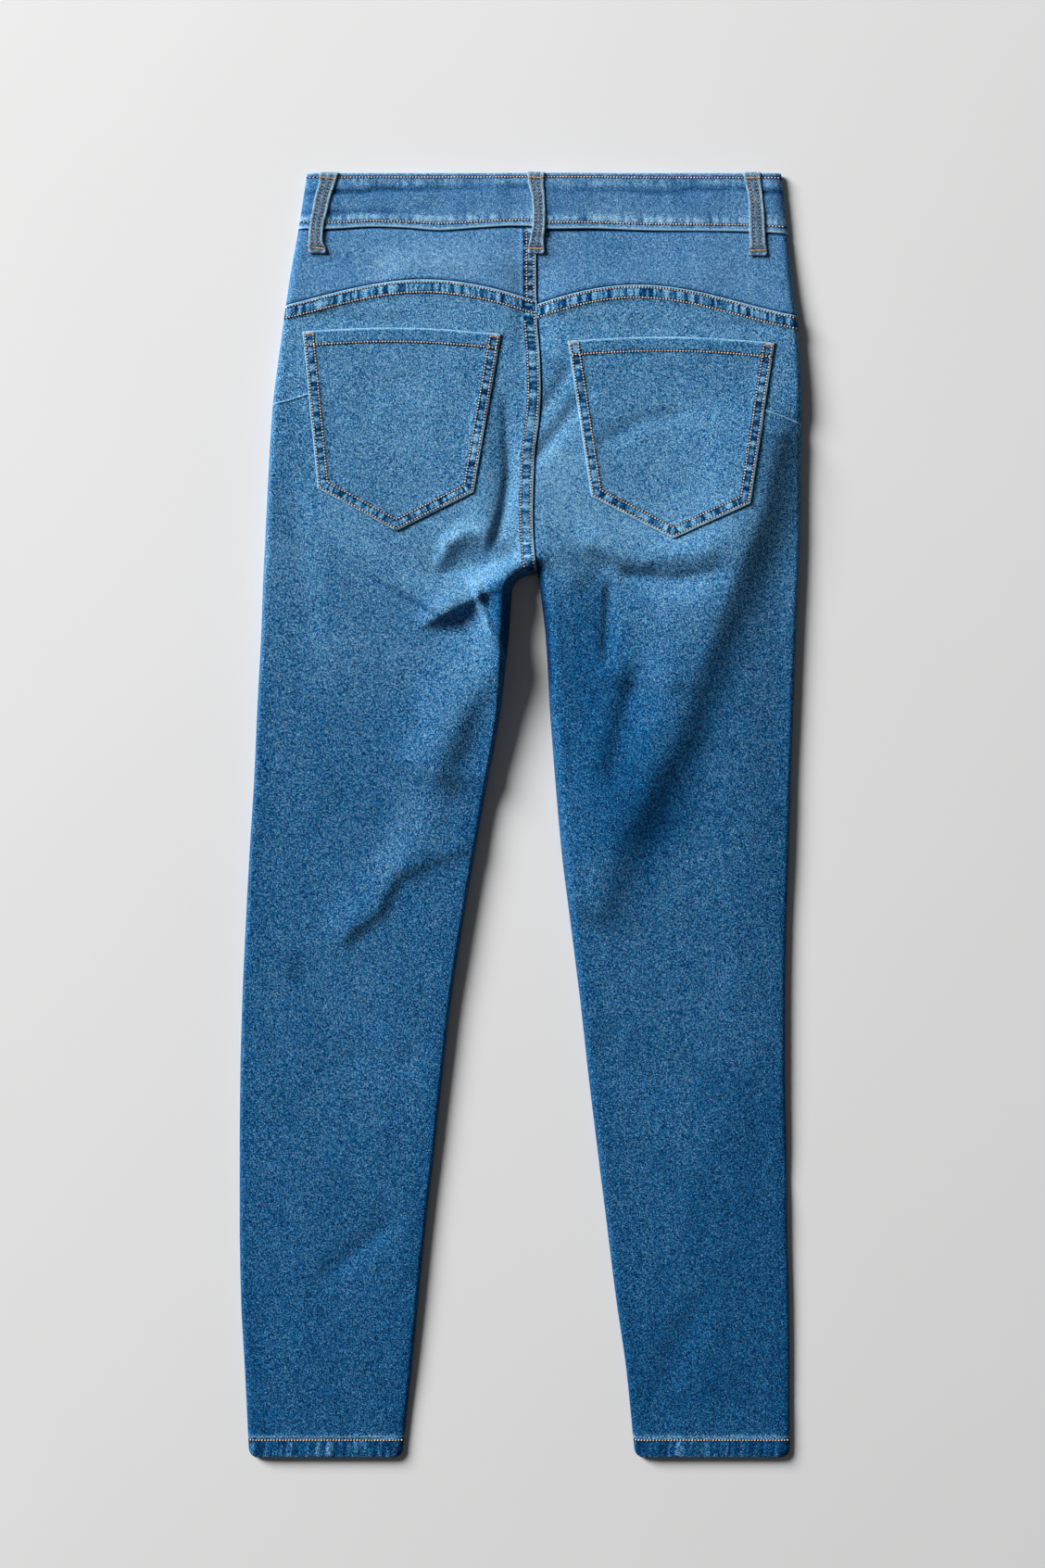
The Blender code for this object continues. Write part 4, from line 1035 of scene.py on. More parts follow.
def yoke(side):
    top, low = WAIST_LINE[side], YOKE_LINE[side]
    lines = finer([moved(top, UNDER_BAND), moved(top, -0.0030)], 0.0007)
    lines += finer([moved(top, -0.0030), moved(low, 0.0060)], 0.0016)[1:]
    lines += finer([moved(low, 0.0060), low], 0.0008)[1:]
    plan, station, width = panel(side, lines)
    rise, pale, seam, run = seam_numbers(side, plan, station, width, over_yoke=False)
    from_band = band_y(plan[..., 0], 1.0) - plan[..., 1]
    below = np.maximum(from_band, 0)
    rise = rise + tucked(below, 0.0011) + 1.1 * np.minimum(from_band, 0)
    from_edge, height, washed_with_painted_light = lie_of(plan)
    # Beside the leg's lap and under the band's lower edge the yoke gets painted shade.
    return cloth(f"yoke_{side}", np.dstack([plan, height + rise * roll(from_edge, 0.003)]),
                 looks=(FACE_SMOOTH, BACK), pale=pale - EDGE_PAINTED_SHADE * bell(below, 0.0012) + washed_with_painted_light,
                 seam=seam, along=run)


for side in ("left", "right"):
    yoke(side)

# %% [markdown]
# ## Leg fronts
# The fronts lie on the table, so they are flat but for the roll at the sides, and a little
# lifted at the waist by the button and the front loops. Nothing of them shows from above, so
# their grid is coarser.

# %% Leg fronts
FRONT_LINES = [(0.3000, 0.3000, 0.0), (0.2000, 0.1950, 0.0), (0.1860, 0.1830, 0.0), (0.1765, 0.1790, 0.0),
               (0.1620, 0.1700, 0.0), (0.1280, 0.1400, 0.0)]


def leg_front(side):
    lines = finer([WAIST_LINE[side], *FRONT_LINES, level(HEM_TOP)], 0.0070)
    plan, _, _ = panel(side, lines, inner=SIDE_STEPS, middle=26)
    from_edge, _, washed_with_painted_light = lie_of(plan)
    prop = underside(plan.reshape(-1, 2)).reshape(washed_with_painted_light.shape)
    height = EDGE_HEIGHT + roll(from_edge, UNDER_ROLL) * (prop - EDGE_HEIGHT)
    zero = np.zeros(washed_with_painted_light.shape)
    return cloth(f"leg_front_{side}", np.dstack([plan, height]), facing=-1.0, looks=LOOKS,
                 pale=washed_with_painted_light, seam=zero, along=zero)


for side in ("left", "right"):
    leg_front(side)

# %% [markdown]
# ## Back pockets
# A patch pocket is one piece of denim with its edges turned in and sewn down in two rows, and
# a turned hem along its open top. It is a grid stretched between the top edge and the pointed
# bottom edge, so its rows follow the edges, lifted off the leg's own surface.

# %% Back pockets
POCKETS = {
    "left": [(-0.1646, 0.3649), (-0.0144, 0.3629), (-0.0350, 0.2430), (-0.0937, 0.2136), (-0.1529, 0.2457)],
    "right": [(0.1918, 0.3563), (0.0350, 0.3577), (0.0528, 0.2397), (0.1144, 0.2076), (0.1726, 0.2338)],
}
POCKET_BOW = 0.0040
POCKET_LIFT = 0.0013      # the pocket's cloth lies this far above the leg
POCKET_RISE = 0.0008      # its turned edges stand this much higher
POCKET_FAR_ROW = 0.0080
POCKET_HEM_ROW = 0.0110   # the stitches of its hem, from the top edge
COARSE = 0.0019           # between the fine rows along its edges, its points are this far apart


def graded(length):
    """Shares of a length, with fine steps near its ends."""
    last = SEAM_STEPS[-1]
    middle = np.linspace(last, length - last, round((length - 2 * last) / COARSE) + 1)[1:-1]
    return np.concatenate([SEAM_STEPS, middle, (length - SEAM_STEPS)[::-1]]) / length


def segment_distance(points, start, stop):
    """Distance of points from the line through two corners, and how far along it they are."""
    run = (stop - start) / np.linalg.norm(stop - start)
    offset = points - start
    return np.abs(run[0] * offset[..., 1] - run[1] * offset[..., 0]), offset @ run


def pocket_top(corners, share):
    """Points along the pocket's bowed top edge."""
    start, stop = np.array(corners[0]), np.array(corners[1])
    line = start + (stop - start) * share[:, None]
    line[:, 1] += POCKET_BOW * np.sin(math.pi * share)
    return line


def pocket(side):
    outer_top, inner_top, inner_low, tip, outer_low = (np.array(c) for c in POCKETS[side])
    outer_run, inner_run = np.linalg.norm(tip - outer_low), np.linalg.norm(inner_low - tip)
    u = graded(outer_run + inner_run)
    v = graded(np.linalg.norm(outer_low - outer_top))[:, None, None]
    top = pocket_top(POCKETS[side], u)
    turn_at = outer_run / (outer_run + inner_run)
    low = np.where(u[:, None] < turn_at, outer_low + (tip - outer_low) * (u / turn_at)[:, None],
                   tip + (inner_low - tip) * ((u - turn_at) / (1 - turn_at))[:, None])
    plan = top[None] * (1 - v) + low[None] * v
    around = [outer_top, outer_low, tip, inner_low, inner_top]
    found = [segment_distance(plan, *ends) for ends in zip(around[:-1], around[1:])]
    distance = np.array([away for away, _ in found])
    s = distance.min(0)
    first = 5.0 if side == "left" else 7.0
    run = np.choose(distance.argmin(0), [along + 0.3 * k + first for k, (_, along) in enumerate(found)])
    from_top = top[None, :, 1] - plan[..., 1]
    rise, pale, seam = lapped(s, POCKET_FAR_ROW, run, rise=POCKET_RISE, seed=8 if side == "left" else 9)
    hem = roll(from_top, EDGE_ROUND) * (1 - smooth_step((from_top - POCKET_HEM_ROW) / 0.0025))
    rise = np.maximum(rise, 0.9 * POCKET_RISE * hem)
    rise = rise - 0.0004 * bell(from_top - POCKET_HEM_ROW, GROOVE_REACH)
    rise = POCKET_LIFT * roll(np.minimum(s, from_top + 0.0002), EDGE_ROUND) + rise
    # The top edge is worn pale; its very edge and the groove under the hem's stitches get painted shade.
    top_pale = edge_wear_and_painted_shade(from_top)
    pale = np.minimum(pale, 0) + np.maximum(np.maximum(pale, 0), np.maximum(top_pale, 0))
    pale = pale + np.minimum(top_pale, 0) - row_shade(from_top, POCKET_HEM_ROW)
    pale = pale - 0.05 * hem * (s > POCKET_FAR_ROW)
    _, height, washed_with_painted_light = lie_of(plan)
    return cloth(f"pocket_{side}", np.dstack([plan, height + rise]), thickness=0.0009, looks=LOOKS,
                 pale=pale + washed_with_painted_light - 0.04, seam=seam, along=run)


for side in ("left", "right"):
    pocket(side)

# %% [markdown]
# ## Waistband
# One folded band runs from the closure round the back to the closure again, where its outer end
# laps over the inner one on the table side. It is a ring of rows: round its top edge, over two
# rows of stitches and down to the seam, where its lower edge stands up over the yokes.

# %% Rows of the waistband
BAND_CLOTH = 0.0018       # the band is folded double
LAP_CLOTH = 0.0016        # and pressed thinner where its ends lap at the closure
BAND_TOP = 0.0074         # height of its back
LAP_SWELL = 0.0014        # it stands this much higher over the lap
LAP = 0.0300              # how far its outer end passes the closure
LAP_FADE = 0.0250         # it gets thinner over this length
SEAM_GAP = 0.0003
BUTTON_AT = (FRONT_CLOSURE_X + 0.5 * LAP, 0.4640)
BAND_WIDTH = 0.0420
BAND_ROWS = (0.0034, 0.0371)            # stitch rows, from the top edge
LOW_CREASE_FALL = 0.0298                # a shorter crease, from the top edge
BAND_ANGLES = range(-75, 76, 15)


def band_over(x):
    return BAND_TOP + LAP_SWELL * (1 - smooth_step((np.abs(x - BUTTON_AT[0]) - 0.4 * LAP) / (2 * LAP_FADE)))


def turn(side_x, inwards, top, wall, reach_under, angles):
    """A ring's cloth where it turns round a folded side: outer x, outer z, inner x, inner z."""
    points = []
    for angle in angles:
        c, s = math.cos(math.radians(angle)), math.sin(math.radians(angle))
        reach = reach_under if s < 0 else TOP_ROLL
        rise = EDGE_HEIGHT if s < 0 else top - EDGE_HEIGHT
        outer = side_x + inwards * reach * (1 - c), EDGE_HEIGHT + rise * s
        inner = side_x + inwards * (wall + (reach - wall) * (1 - c)), EDGE_HEIGHT + (rise - wall) * s
        points.append((*outer, *inner))
    return points


def band_row(share):
    """One row of the band as outer and inner points, from its top edge (0) to its seam (1)."""
    ends = {side: WAIST_TOP + (WAIST_LINE[side][0] - WAIST_TOP) * share for side in ("left", "right")}
    left_x, right_x = (float(OUTER[side](y)) for side, y in ends.items())

    def y_at(x):
        return float(band_y(x, share))

    def on_table(x, thick, over=0.0):
        low = float(underside(np.array([[x, y_at(x)]]))[0]) + over
        return x, low, x, low + thick

    def on_back(x):
        return x, float(band_over(x)), x, float(band_over(x)) - BAND_CLOTH

    def lapping(x):
        return (LAP_CLOTH + SEAM_GAP) * float(1 - smooth_step((x - lap_end - SEAM_GAP) / LAP_FADE))

    lap_end = FRONT_CLOSURE_X + LAP
    thin_from = FRONT_CLOSURE_X - 2 * LAP_FADE
    row = [on_table(x, LAP_CLOTH) for x in np.linspace(lap_end, thin_from, 24)]
    row += [on_table(x, BAND_CLOTH) for x in np.linspace(thin_from - 0.0125, left_x + UNDER_ROLL, 26)]
    row += turn(left_x, 1.0, BAND_TOP, BAND_CLOTH, UNDER_ROLL, BAND_ANGLES)
    row += [on_back(x) for x in np.linspace(left_x + TOP_ROLL, right_x - TOP_ROLL, 290)]
    row += turn(right_x, -1.0, BAND_TOP, BAND_CLOTH, UNDER_ROLL, BAND_ANGLES)[::-1]
    row += [on_table(x, BAND_CLOTH) for x in np.linspace(right_x - UNDER_ROLL, lap_end + 0.030, 26)]
    row += [on_table(x, LAP_CLOTH, lapping(x)) for x in np.linspace(lap_end + 0.020, FRONT_CLOSURE_X, 16)]
    outer = [(x, y_at(x), z) for x, z, _, _ in row]
    return np.array(outer), np.array([(x_in, y_at(x), z) for x, _, x_in, z in row])


print("points round the band:", len(band_row(0.0)[0]))

# %% [markdown]
# ## Cloth folded over
# The band, the hems and the loops are cloth folded over, so they have an outer and an inner side
# of their own. A Solidify modifier keeps one thickness everywhere. Here two grids of points are
# joined at their borders, so a piece can be thinner at its stitches and rounded at its edges.


# %% A wall between two grids
def slab(name, outer, inner, looks, closed=False, **numbers):
    """A closed wall between two grids of points."""
    rows, columns = outer.shape[:2]
    bm = bmesh.new()
    verts = [bm.verts.new(p) for p in np.concatenate([outer.reshape(-1, 3), inner.reshape(-1, 3)])]
    count = rows * columns
    for face in grid_faces(rows, columns, closed):
        bm.faces.new([verts[k] for k in face])
        bm.faces.new([verts[k + count] for k in face[::-1]]).material_index = len(looks) - 1
    last = columns if closed else columns - 1
    rim = [((i, j), (i, (j + 1) % columns)) for i in (0, rows - 1) for j in range(last)]
    if not closed:
        rim += [((i, j), (i + 1, j)) for j in (0, columns - 1) for i in range(rows - 1)]
    for (i, j), (k, m) in rim:
        a, b = i * columns + j, k * columns + m
        bm.faces.new([verts[a], verts[b], verts[b + count], verts[a + count]])
    bmesh.ops.recalc_face_normals(bm, faces=bm.faces)
    made = add_mesh(name, bm, *looks)
    give_numbers(made, **{label: np.tile(np.ravel(v), 2) for label, v in numbers.items()})
    GRIDS[name] = outer
    return made


print("pieces so far:", sorted(GRIDS))


# %% Waistband
def waistband():
    edge = np.array([0.0, 0.0004, 0.0010, 0.0018, 0.0027, 0.0035, 0.0043, 0.0049, 0.0057])
    down = np.concatenate([edge, np.linspace(0.0068, 0.0352, 18), BAND_WIDTH - edge[::-1]])
    rows = [band_row(s / BAND_WIDTH) for s in down]
    outer, inner = np.array([r[0] for r in rows]), np.array([r[1] for r in rows])
    s = np.repeat(down[:, None], outer.shape[1], 1)
    from_edge = np.minimum(s, BAND_WIDTH - s)
    x = outer[..., 0]
    below = outer[..., 2] < EDGE_HEIGHT
    groove = sum(bell(s - row, GROOVE_REACH) for row in BAND_ROWS)
    crease = CREASE_DEPTH(x) * bell(s - CREASE_FALL(x), 0.0019)
    low_crease = bell(s - LOW_CREASE_FALL, 0.0020) * (1 - smooth_step((x + 0.115) / 0.060))
    swell = 0.00045 * uneven_over(x, s, (0.020, 0.012), 42) * smooth_step((from_edge - 0.0045) / 0.004)
    pucker = uneven_over(x, s, (0.0035, 0.011), 43)
    near_row = bell(from_edge - 0.0072, 0.0032) * np.where(s > 0.02, 1.0, 0.45)
    relief = 0.0007 * roll(from_edge, 0.0012) - 0.0004 * groove + swell + 0.00018 * pucker * near_row
    relief = np.where(below, 0.0, relief - 0.0009 * crease - 0.0004 * low_crease)
    pinch = (1 - roll(from_edge, 0.0010)) * 0.0006
    outer[..., 2] += relief
    outer[..., 2] -= np.where(below, -pinch, pinch)
    fade = uneven_over(x, s, (0.010, 0.030), 44)
    pale = wash_and_painted_light(outer[..., :2].reshape(-1, 2)).reshape(s.shape) + 0.06 * fade
    # Painted shade at the foot of the band's lower edge, in the grooves under its rows and in its creases;
    # its edges are worn pale.
    pale = pale + edge_wear_and_painted_shade(BAND_WIDTH - s) + 0.22 * bell(s, 0.0022) - row_shade(s, *BAND_ROWS)
    pale = pale - 0.34 * crease - 0.16 * low_crease + 0.30 * near_row * pucker + 0.20 * near_row
    return slab("band", outer, inner, (FACE_ACROSS, BACK), pale=pale, seam=0.35 * near_row, along=x + 9.0)


waistband()

# %% [markdown]
# ## Hems
# A hem is the end of the leg turned up twice: a flattened ring. Its stitching pulls the cloth
# into slanting ripples, worn pale on their tops, which is the first thing one sees of a hem.

# %% Hems
HEM_HEIGHT = 0.0060
HEM_CLOTH = 0.0018        # it is folded double, as the band is
HEM_WIDTH = 0.0150
HEM_ROW = 0.0017          # its stitches, from its upper edge
# y and how far the hem's ends are drawn in there
HEM_DRAWN = [(HEM_TOP, 0.0), (-0.4785, 0.0), (-0.4825, 0.0012), (HEM_BOTTOM, 0.0042)]
HEM_ANGLES = list(range(-90, 91, 12))


def between(start, stop, count):
    """The points between two, without the two themselves."""
    start, stop = np.array(start), np.array(stop)
    return [start + (stop - start) * t for t in np.linspace(0, 1, count)[1:-1]]


def hem(side):
    down = np.concatenate([np.linspace(0, 0.0040, 7), np.linspace(0.0052, 0.0120, 8),
                           [0.0132, 0.0140, 0.0146, HEM_WIDTH]])
    drawn = column(HEM_DRAWN, 1)
    outer, inner = [], []
    for y in HEM_TOP - down:
        drawn_in = float(drawn(y))
        ends = sorted((float(OUTER[side](y)), float(INSEAM[side](y))))
        left = turn(ends[0] + drawn_in, 1.0, HEM_HEIGHT, HEM_CLOTH, TOP_ROLL, HEM_ANGLES)
        right = turn(ends[1] - drawn_in, -1.0, HEM_HEIGHT, HEM_CLOTH, TOP_ROLL, HEM_ANGLES)
        ring = left + between(left[-1], right[-1], 92) + right[::-1] + between(right[0], left[0], 50)
        outer.append([(x, y, z) for x, z, _, _ in ring])
        inner.append([(x, y, z) for _, _, x, z in ring])
    outer, inner = np.array(outer), np.array(inner)
    s = np.repeat(down[:, None], outer.shape[1], 1)
    slanting = outer[..., 0] + 0.10 * s
    on_top = np.clip((outer[..., 2] - EDGE_HEIGHT) / (HEM_HEIGHT - EDGE_HEIGHT), 0, 1)
    rope = uneven_over(slanting, s, (0.0040, 0.030), 51 if side == "left" else 52)
    body = smooth_step((s - HEM_ROW) / 0.002) * (1 - smooth_step((s - 0.0125) / 0.0025))
    lip = 1 - roll(HEM_WIDTH - s, 0.0016)
    relief = 0.0006 * smooth_step(s / 0.0006) - 0.0005 * bell(s - HEM_ROW, 0.0009)
    outer[..., 2] += (relief + 0.00045 * rope * body - 0.0016 * lip) * on_top
    pale = wash_and_painted_light(outer[..., :2].reshape(-1, 2)).reshape(s.shape)
    pale = pale + (0.42 * np.clip(rope, 0, 1) ** 2 - 0.06) * body + 0.26 * bell(HEM_WIDTH - s, 0.0012)
    # Painted shade in the groove under the hem's stitches; its top edge is worn pale.
    pale = pale + 0.45 * bell(s, 0.0008) - row_shade(s, HEM_ROW)
    return slab(f"cuff_{side}", outer, inner, LOOKS, closed=True,
                pale=pale, seam=0.4 * body, along=slanting + 11.0)


for side in ("left", "right"):
    hem(side)

# %% [markdown]
# ## Hip seams
# A short dart seam runs from each side in under the pocket. It shows as one narrow worn ridge,
# so it is a strip of a few points across, dropped on the leg below it.

# %% Hip seams
HIP_SEAMS = {
    "left": [(-0.1867, 0.3098), (-0.1738, 0.3128), (-0.1590, 0.3176)],
    "right": [(0.1825, 0.3053), (0.1985, 0.3000), (0.2117, 0.2946)],
}
RIDGE_WIDTH = 0.0017
RIDGE_RISE = 0.0009
# Across the ridge, in half widths, and its height there, in rises
RIDGE = [(-1.0, -0.5), (-0.85, 0.35), (-0.5, 0.85), (0.0, 1.0), (0.5, 0.85), (0.85, 0.35), (1.0, -0.5)]


def hip_seam(side):
    path = np.array(HIP_SEAMS[side])
    share = np.linspace(0, 1, 40)
    middle = np.stack([np.interp(share, np.linspace(0, 1, len(path)), path[:, k]) for k in (0, 1)], 1)
    run = np.gradient(middle, axis=0)
    normal = np.column_stack([-run[:, 1], run[:, 0]]) / np.linalg.norm(run, axis=1)[:, None]
    outer = []
    for place, sideways in zip(middle, normal):
        low = drop(f"leg_back_{side}", place)[0].z
        outer.append([(*(place + sideways * c * RIDGE_WIDTH / 2), low + h * RIDGE_RISE) for c, h in RIDGE])
    # The ridge's top is worn pale, and its two sunk edges get painted shade where it meets the leg.
    pale = np.array([[1.02 - 0.75 * (abs(c) > 0.9) for c, _ in RIDGE]] * len(outer))
    zero = np.zeros(pale.shape)
    return slab(f"hip_seam_{side}", np.array(outer), np.array(outer) - [0, 0, 0.0012], (FACE,),
                pale=pale, seam=zero, along=zero)


HIPS = [hip_seam(side) for side in ("left", "right")]

# %% [markdown]
# ## Belt loops
# A loop is a folded strap, bar tacked at both ends. Its edges are worn pale, two rows of
# stitches run down its middle, and its lower end is folded under. Three are on the back and
# two on the front, pressed between the cloth and the table.

# %% Belt loops
LOOP_CLOTH = 0.0016
LOOP_SLACK = 0.0006       # a loop stands this much further off in its middle
LOOP_REST = 0.0003        # and this much off what it lies on
LOOP_ROW = 0.40           # the two rows of stitches, in half widths from the middle
LOOP_TACK = 0.0042        # bar tacks, from either end
# name, y of its lower end, how much its tacks slope, and at shares of its length: x and width
BACK_LOOPS = [
    ("back_left", 0.4240, -0.0014, [
        (0.0, -0.1445, 0.0145), (0.15, -0.1464, 0.0128), (0.29, -0.1491, 0.0122), (0.48, -0.1516, 0.0117),
        (0.67, -0.1540, 0.0107), (0.85, -0.1548, 0.0112), (0.94, -0.1537, 0.0138), (1.0, -0.1534, 0.0133)]),
    ("back_centre", 0.4235, -0.0004, [
        (0.0, 0.0112, 0.0134), (0.15, 0.0116, 0.0118), (0.29, 0.0130, 0.0104), (0.48, 0.0138, 0.0098),
        (0.67, 0.0135, 0.0100), (0.85, 0.0119, 0.0110), (0.94, 0.0116, 0.0130), (1.0, 0.0116, 0.0120)]),
    ("back_right", 0.4220, 0.0004, [
        (0.0, 0.1741, 0.0134), (0.15, 0.1754, 0.0122), (0.29, 0.1770, 0.0113), (0.48, 0.1779, 0.0117),
        (0.67, 0.1782, 0.0122), (0.85, 0.1788, 0.0122), (0.94, 0.1788, 0.0144), (1.0, 0.1788, 0.0133)]),
]
FRONT_LOOPS = [
    ("front_left", 0.4240, 0.0, [(0.0, -0.0780, 0.0118), (1.0, -0.0800, 0.0118)]),
    ("front_right", 0.4240, 0.0, [(0.0, 0.1050, 0.0118), (1.0, 0.1070, 0.0118)]),
]
LOOP_X = {row[0]: column(row[3], 1) for row in BACK_LOOPS + FRONT_LOOPS}
LOOP_WIDE = {row[0]: column(row[3], 2) for row in BACK_LOOPS + FRONT_LOOPS}
# The rows of points across a loop, in half widths from its middle
LOOP_STEPS = [0.08, 0.2, 0.31, 0.45, 0.6, 0.74, 0.86, 0.94, 0.985, 1]


def loop_rest(points):
    """Height of what a back belt loop lies on, at the highest within a few millimetres."""
    nearby = [points + [0, step] for step in (-0.002, 0.0, 0.002)]
    on_band = WAIST_LINE["right"][0]
    return np.max([np.where(at[:, 1] > on_band, band_over(at[:, 0]), upper_height(at)) for at in nearby])


def belt_loop(name, bottom_y, seed, under=False):
    length = WAIST_TOP - bottom_y
    down = np.concatenate([np.linspace(0, 0.003, 6), np.linspace(0.0042, length - 0.0092, 26),
                           np.linspace(length - 0.0082, length, 14)])
    across = np.array([-c for c in LOOP_STEPS[::-1]] + LOOP_STEPS)
    s = np.repeat(down[:, None], len(across), 1)
    unit = np.repeat(across[None], len(down), 0)
    share = s / length
    half = LOOP_WIDE[name](share) / 2
    c = unit * half
    corner = 0.0011 * (1 - roll(length - s, 0.0022))
    x = LOOP_X[name](share) + np.sign(c) * np.maximum(np.abs(c) - corner, 0)
    y = WAIST_TOP + 0.0004 + (bottom_y - WAIST_TOP - 0.0004) * share
    from_edge = half - np.abs(c)
    rounding = LOOP_CLOTH / 2 * (1 - roll(from_edge, 0.0012))
    grooves = sum(bell(unit - row, 0.14) for row in (-LOOP_ROW, LOOP_ROW))
    tack = bell(length - s - LOOP_TACK, 0.0014) + bell(s - LOOP_TACK, 0.0014)
    folded_end = smooth_step((s - length + LOOP_TACK) / 0.001) * 0.0005
    cap = 1 - smooth_step((s - LOOP_TACK) / 0.0010)
    bumpy = uneven_over(c, s, (0.003, 0.005), 60 + seed)
    end_round = LOOP_CLOTH / 2 * (1 - roll(np.minimum(s, length - s), 0.0011))
    if under:
        low = np.full(s.shape, 0.0001)
        top, bottom = low + PROP_HEIGHT - 0.0003, low + rounding + end_round
    else:
        slack = LOOP_SLACK * np.abs(np.sin(math.pi * share)) ** 0.7
        rest = np.array([[loop_rest(np.column_stack([row_x, row_y]))] for row_x, row_y in zip(x, y)])
        low = rest + LOOP_REST + slack
        top = low + LOOP_CLOTH + folded_end + 0.0005 * cap + 0.00012 * bumpy
        top = top - 0.00035 * grooves - 0.0006 * tack + 0.0003 * bell(from_edge, 0.0018)
        top, bottom = top - rounding - end_round, low + rounding
    pale = 0.54 + 0.08 * bumpy - 0.04 * share
    pale = pale + 0.30 * (1 - smooth_step((from_edge - 0.0013) / 0.0010)) - 0.12 * grooves + 0.20 * cap
    pale = pale + 0.22 * bell(length - s, 0.0014) - 0.30 * tack
    # Painted shade in a thin line all round the loop's edge, where it meets the band.
    pale = pale - 0.30 * (1 - smooth_step(from_edge / 0.0004))
    return slab(f"loop_{name}", np.stack([x, y, top], -1), np.stack([x, y, bottom], -1), (WORN,),
                pale=pale, seam=np.zeros(s.shape), along=s)


for seed, row in enumerate(BACK_LOOPS):
    belt_loop(*row[:2], seed)
for seed, row in enumerate(FRONT_LOOPS, 5):
    belt_loop(*row[:2], seed, under=True)

# %% [markdown]
# ## Thread
# Topstitching is thick tan thread. It is never one colour: the thread fades where it is rubbed
# and stays rusty in the grooves. Each stitch is a small bead of mesh, so it catches the light.


# %% Thread finishes
PATCHES, STRANDS = 420.0, 5200.0        # in a metre of thread


def thread(name, dark, light):
    place, shade = finish_of(name, Roughness=0.62, Sheen_Weight=0.15, Specular_IOR_Level=0.35)
    patch, strand = place.noise(PATCHES, Detail=2.0), place.noise(STRANDS, Detail=1.0)
    mixed = patch + (strand - 0.5) * 0.5
    tone = place.node("ShaderNodeMapRange", inputs={"Value": mixed, 1: 0.34, 2: 0.66})
    bumped = place.node("ShaderNodeBump", inputs={"Strength": 0.4, "Distance": 0.0001, "Height": strand})
    return shade(Base_Color=tone.ramp([(0.0, dark), (1.0, light)]), Normal=bumped)


TAN = thread("tan topstitch thread", from_srgb(206, 168, 134), from_srgb(255, 242, 222))
RUST = thread("orange bar tack thread", from_srgb(168, 112, 62), from_srgb(238, 188, 130))
# A near-black finish for the discs that paint the shade inside each needle hole.
HOLE_PAINTED_SHADE = denim(
    "denim, painted shade in a needle hole", [(0.0, from_srgb(4, 10, 24)), (1.0, from_srgb(12, 28, 54))], base=0.4)
print("threads:", TAN.name, "and", RUST.name)

# %% [markdown]
# ## Stitches
# Some three thousand stitches can't be placed by hand. Each row is a path in plan. It is walked
# in steps of one stitch, each step is dropped on the piece below it with a ray, and a small bead
# is laid there along the path. All the stitches of a piece are one mesh.

# %% Laying stitches
PITCH = 0.00222           # from one stitch to the next
LOOP_PITCH, TACK_PITCH = 0.0026, 0.00072
STITCH_LENGTH = 0.00150
STITCH_RADIUS, THIN_RADIUS = 0.00055, 0.00036
STITCH_TURN = 24          # the twist of the thread slants each stitch by this many degrees,
LOOP_TURN, TACK_TURN = 14, 78     # less on the loops, and a bar tack's lie nearly across it
STITCH_SIDES = 6
HOLE = 0.00072            # radius of the disc of painted shade in the hole between two stitches
# Along a bead, in half lengths, and its radius there, in radii
BEAD = [(-1.0, 0.25), (-0.72, 0.85), (0.0, 1.0), (0.72, 0.85), (1.0, 0.25)]
THREADS = []              # names of the meshes of stitches


def walk(path, pitch):
    """Points and directions every pitch along a path in plan."""
    path = np.asarray(path, float)
    length = np.concatenate([[0], np.cumsum(np.linalg.norm(np.diff(path, axis=0), axis=1))])
    count = max(1, int(length[-1] / pitch))
    at = (np.arange(count) + 0.5) * length[-1] / count

    def along(places):
        return np.stack([np.interp(places, length, path[:, k]) for k in (0, 1)], 1)

    run = along(at + pitch / 4) - along(at - pitch / 4)
    return along(at), run / np.linalg.norm(run, axis=1)[:, None]


def ring_faces(bm, ring, other):
    """Faces between two rings of a bead."""
    for k in range(len(ring)):
        m = (k + 1) % len(ring)
        bm.faces.new((ring[k], ring[m], other[m], other[k]))


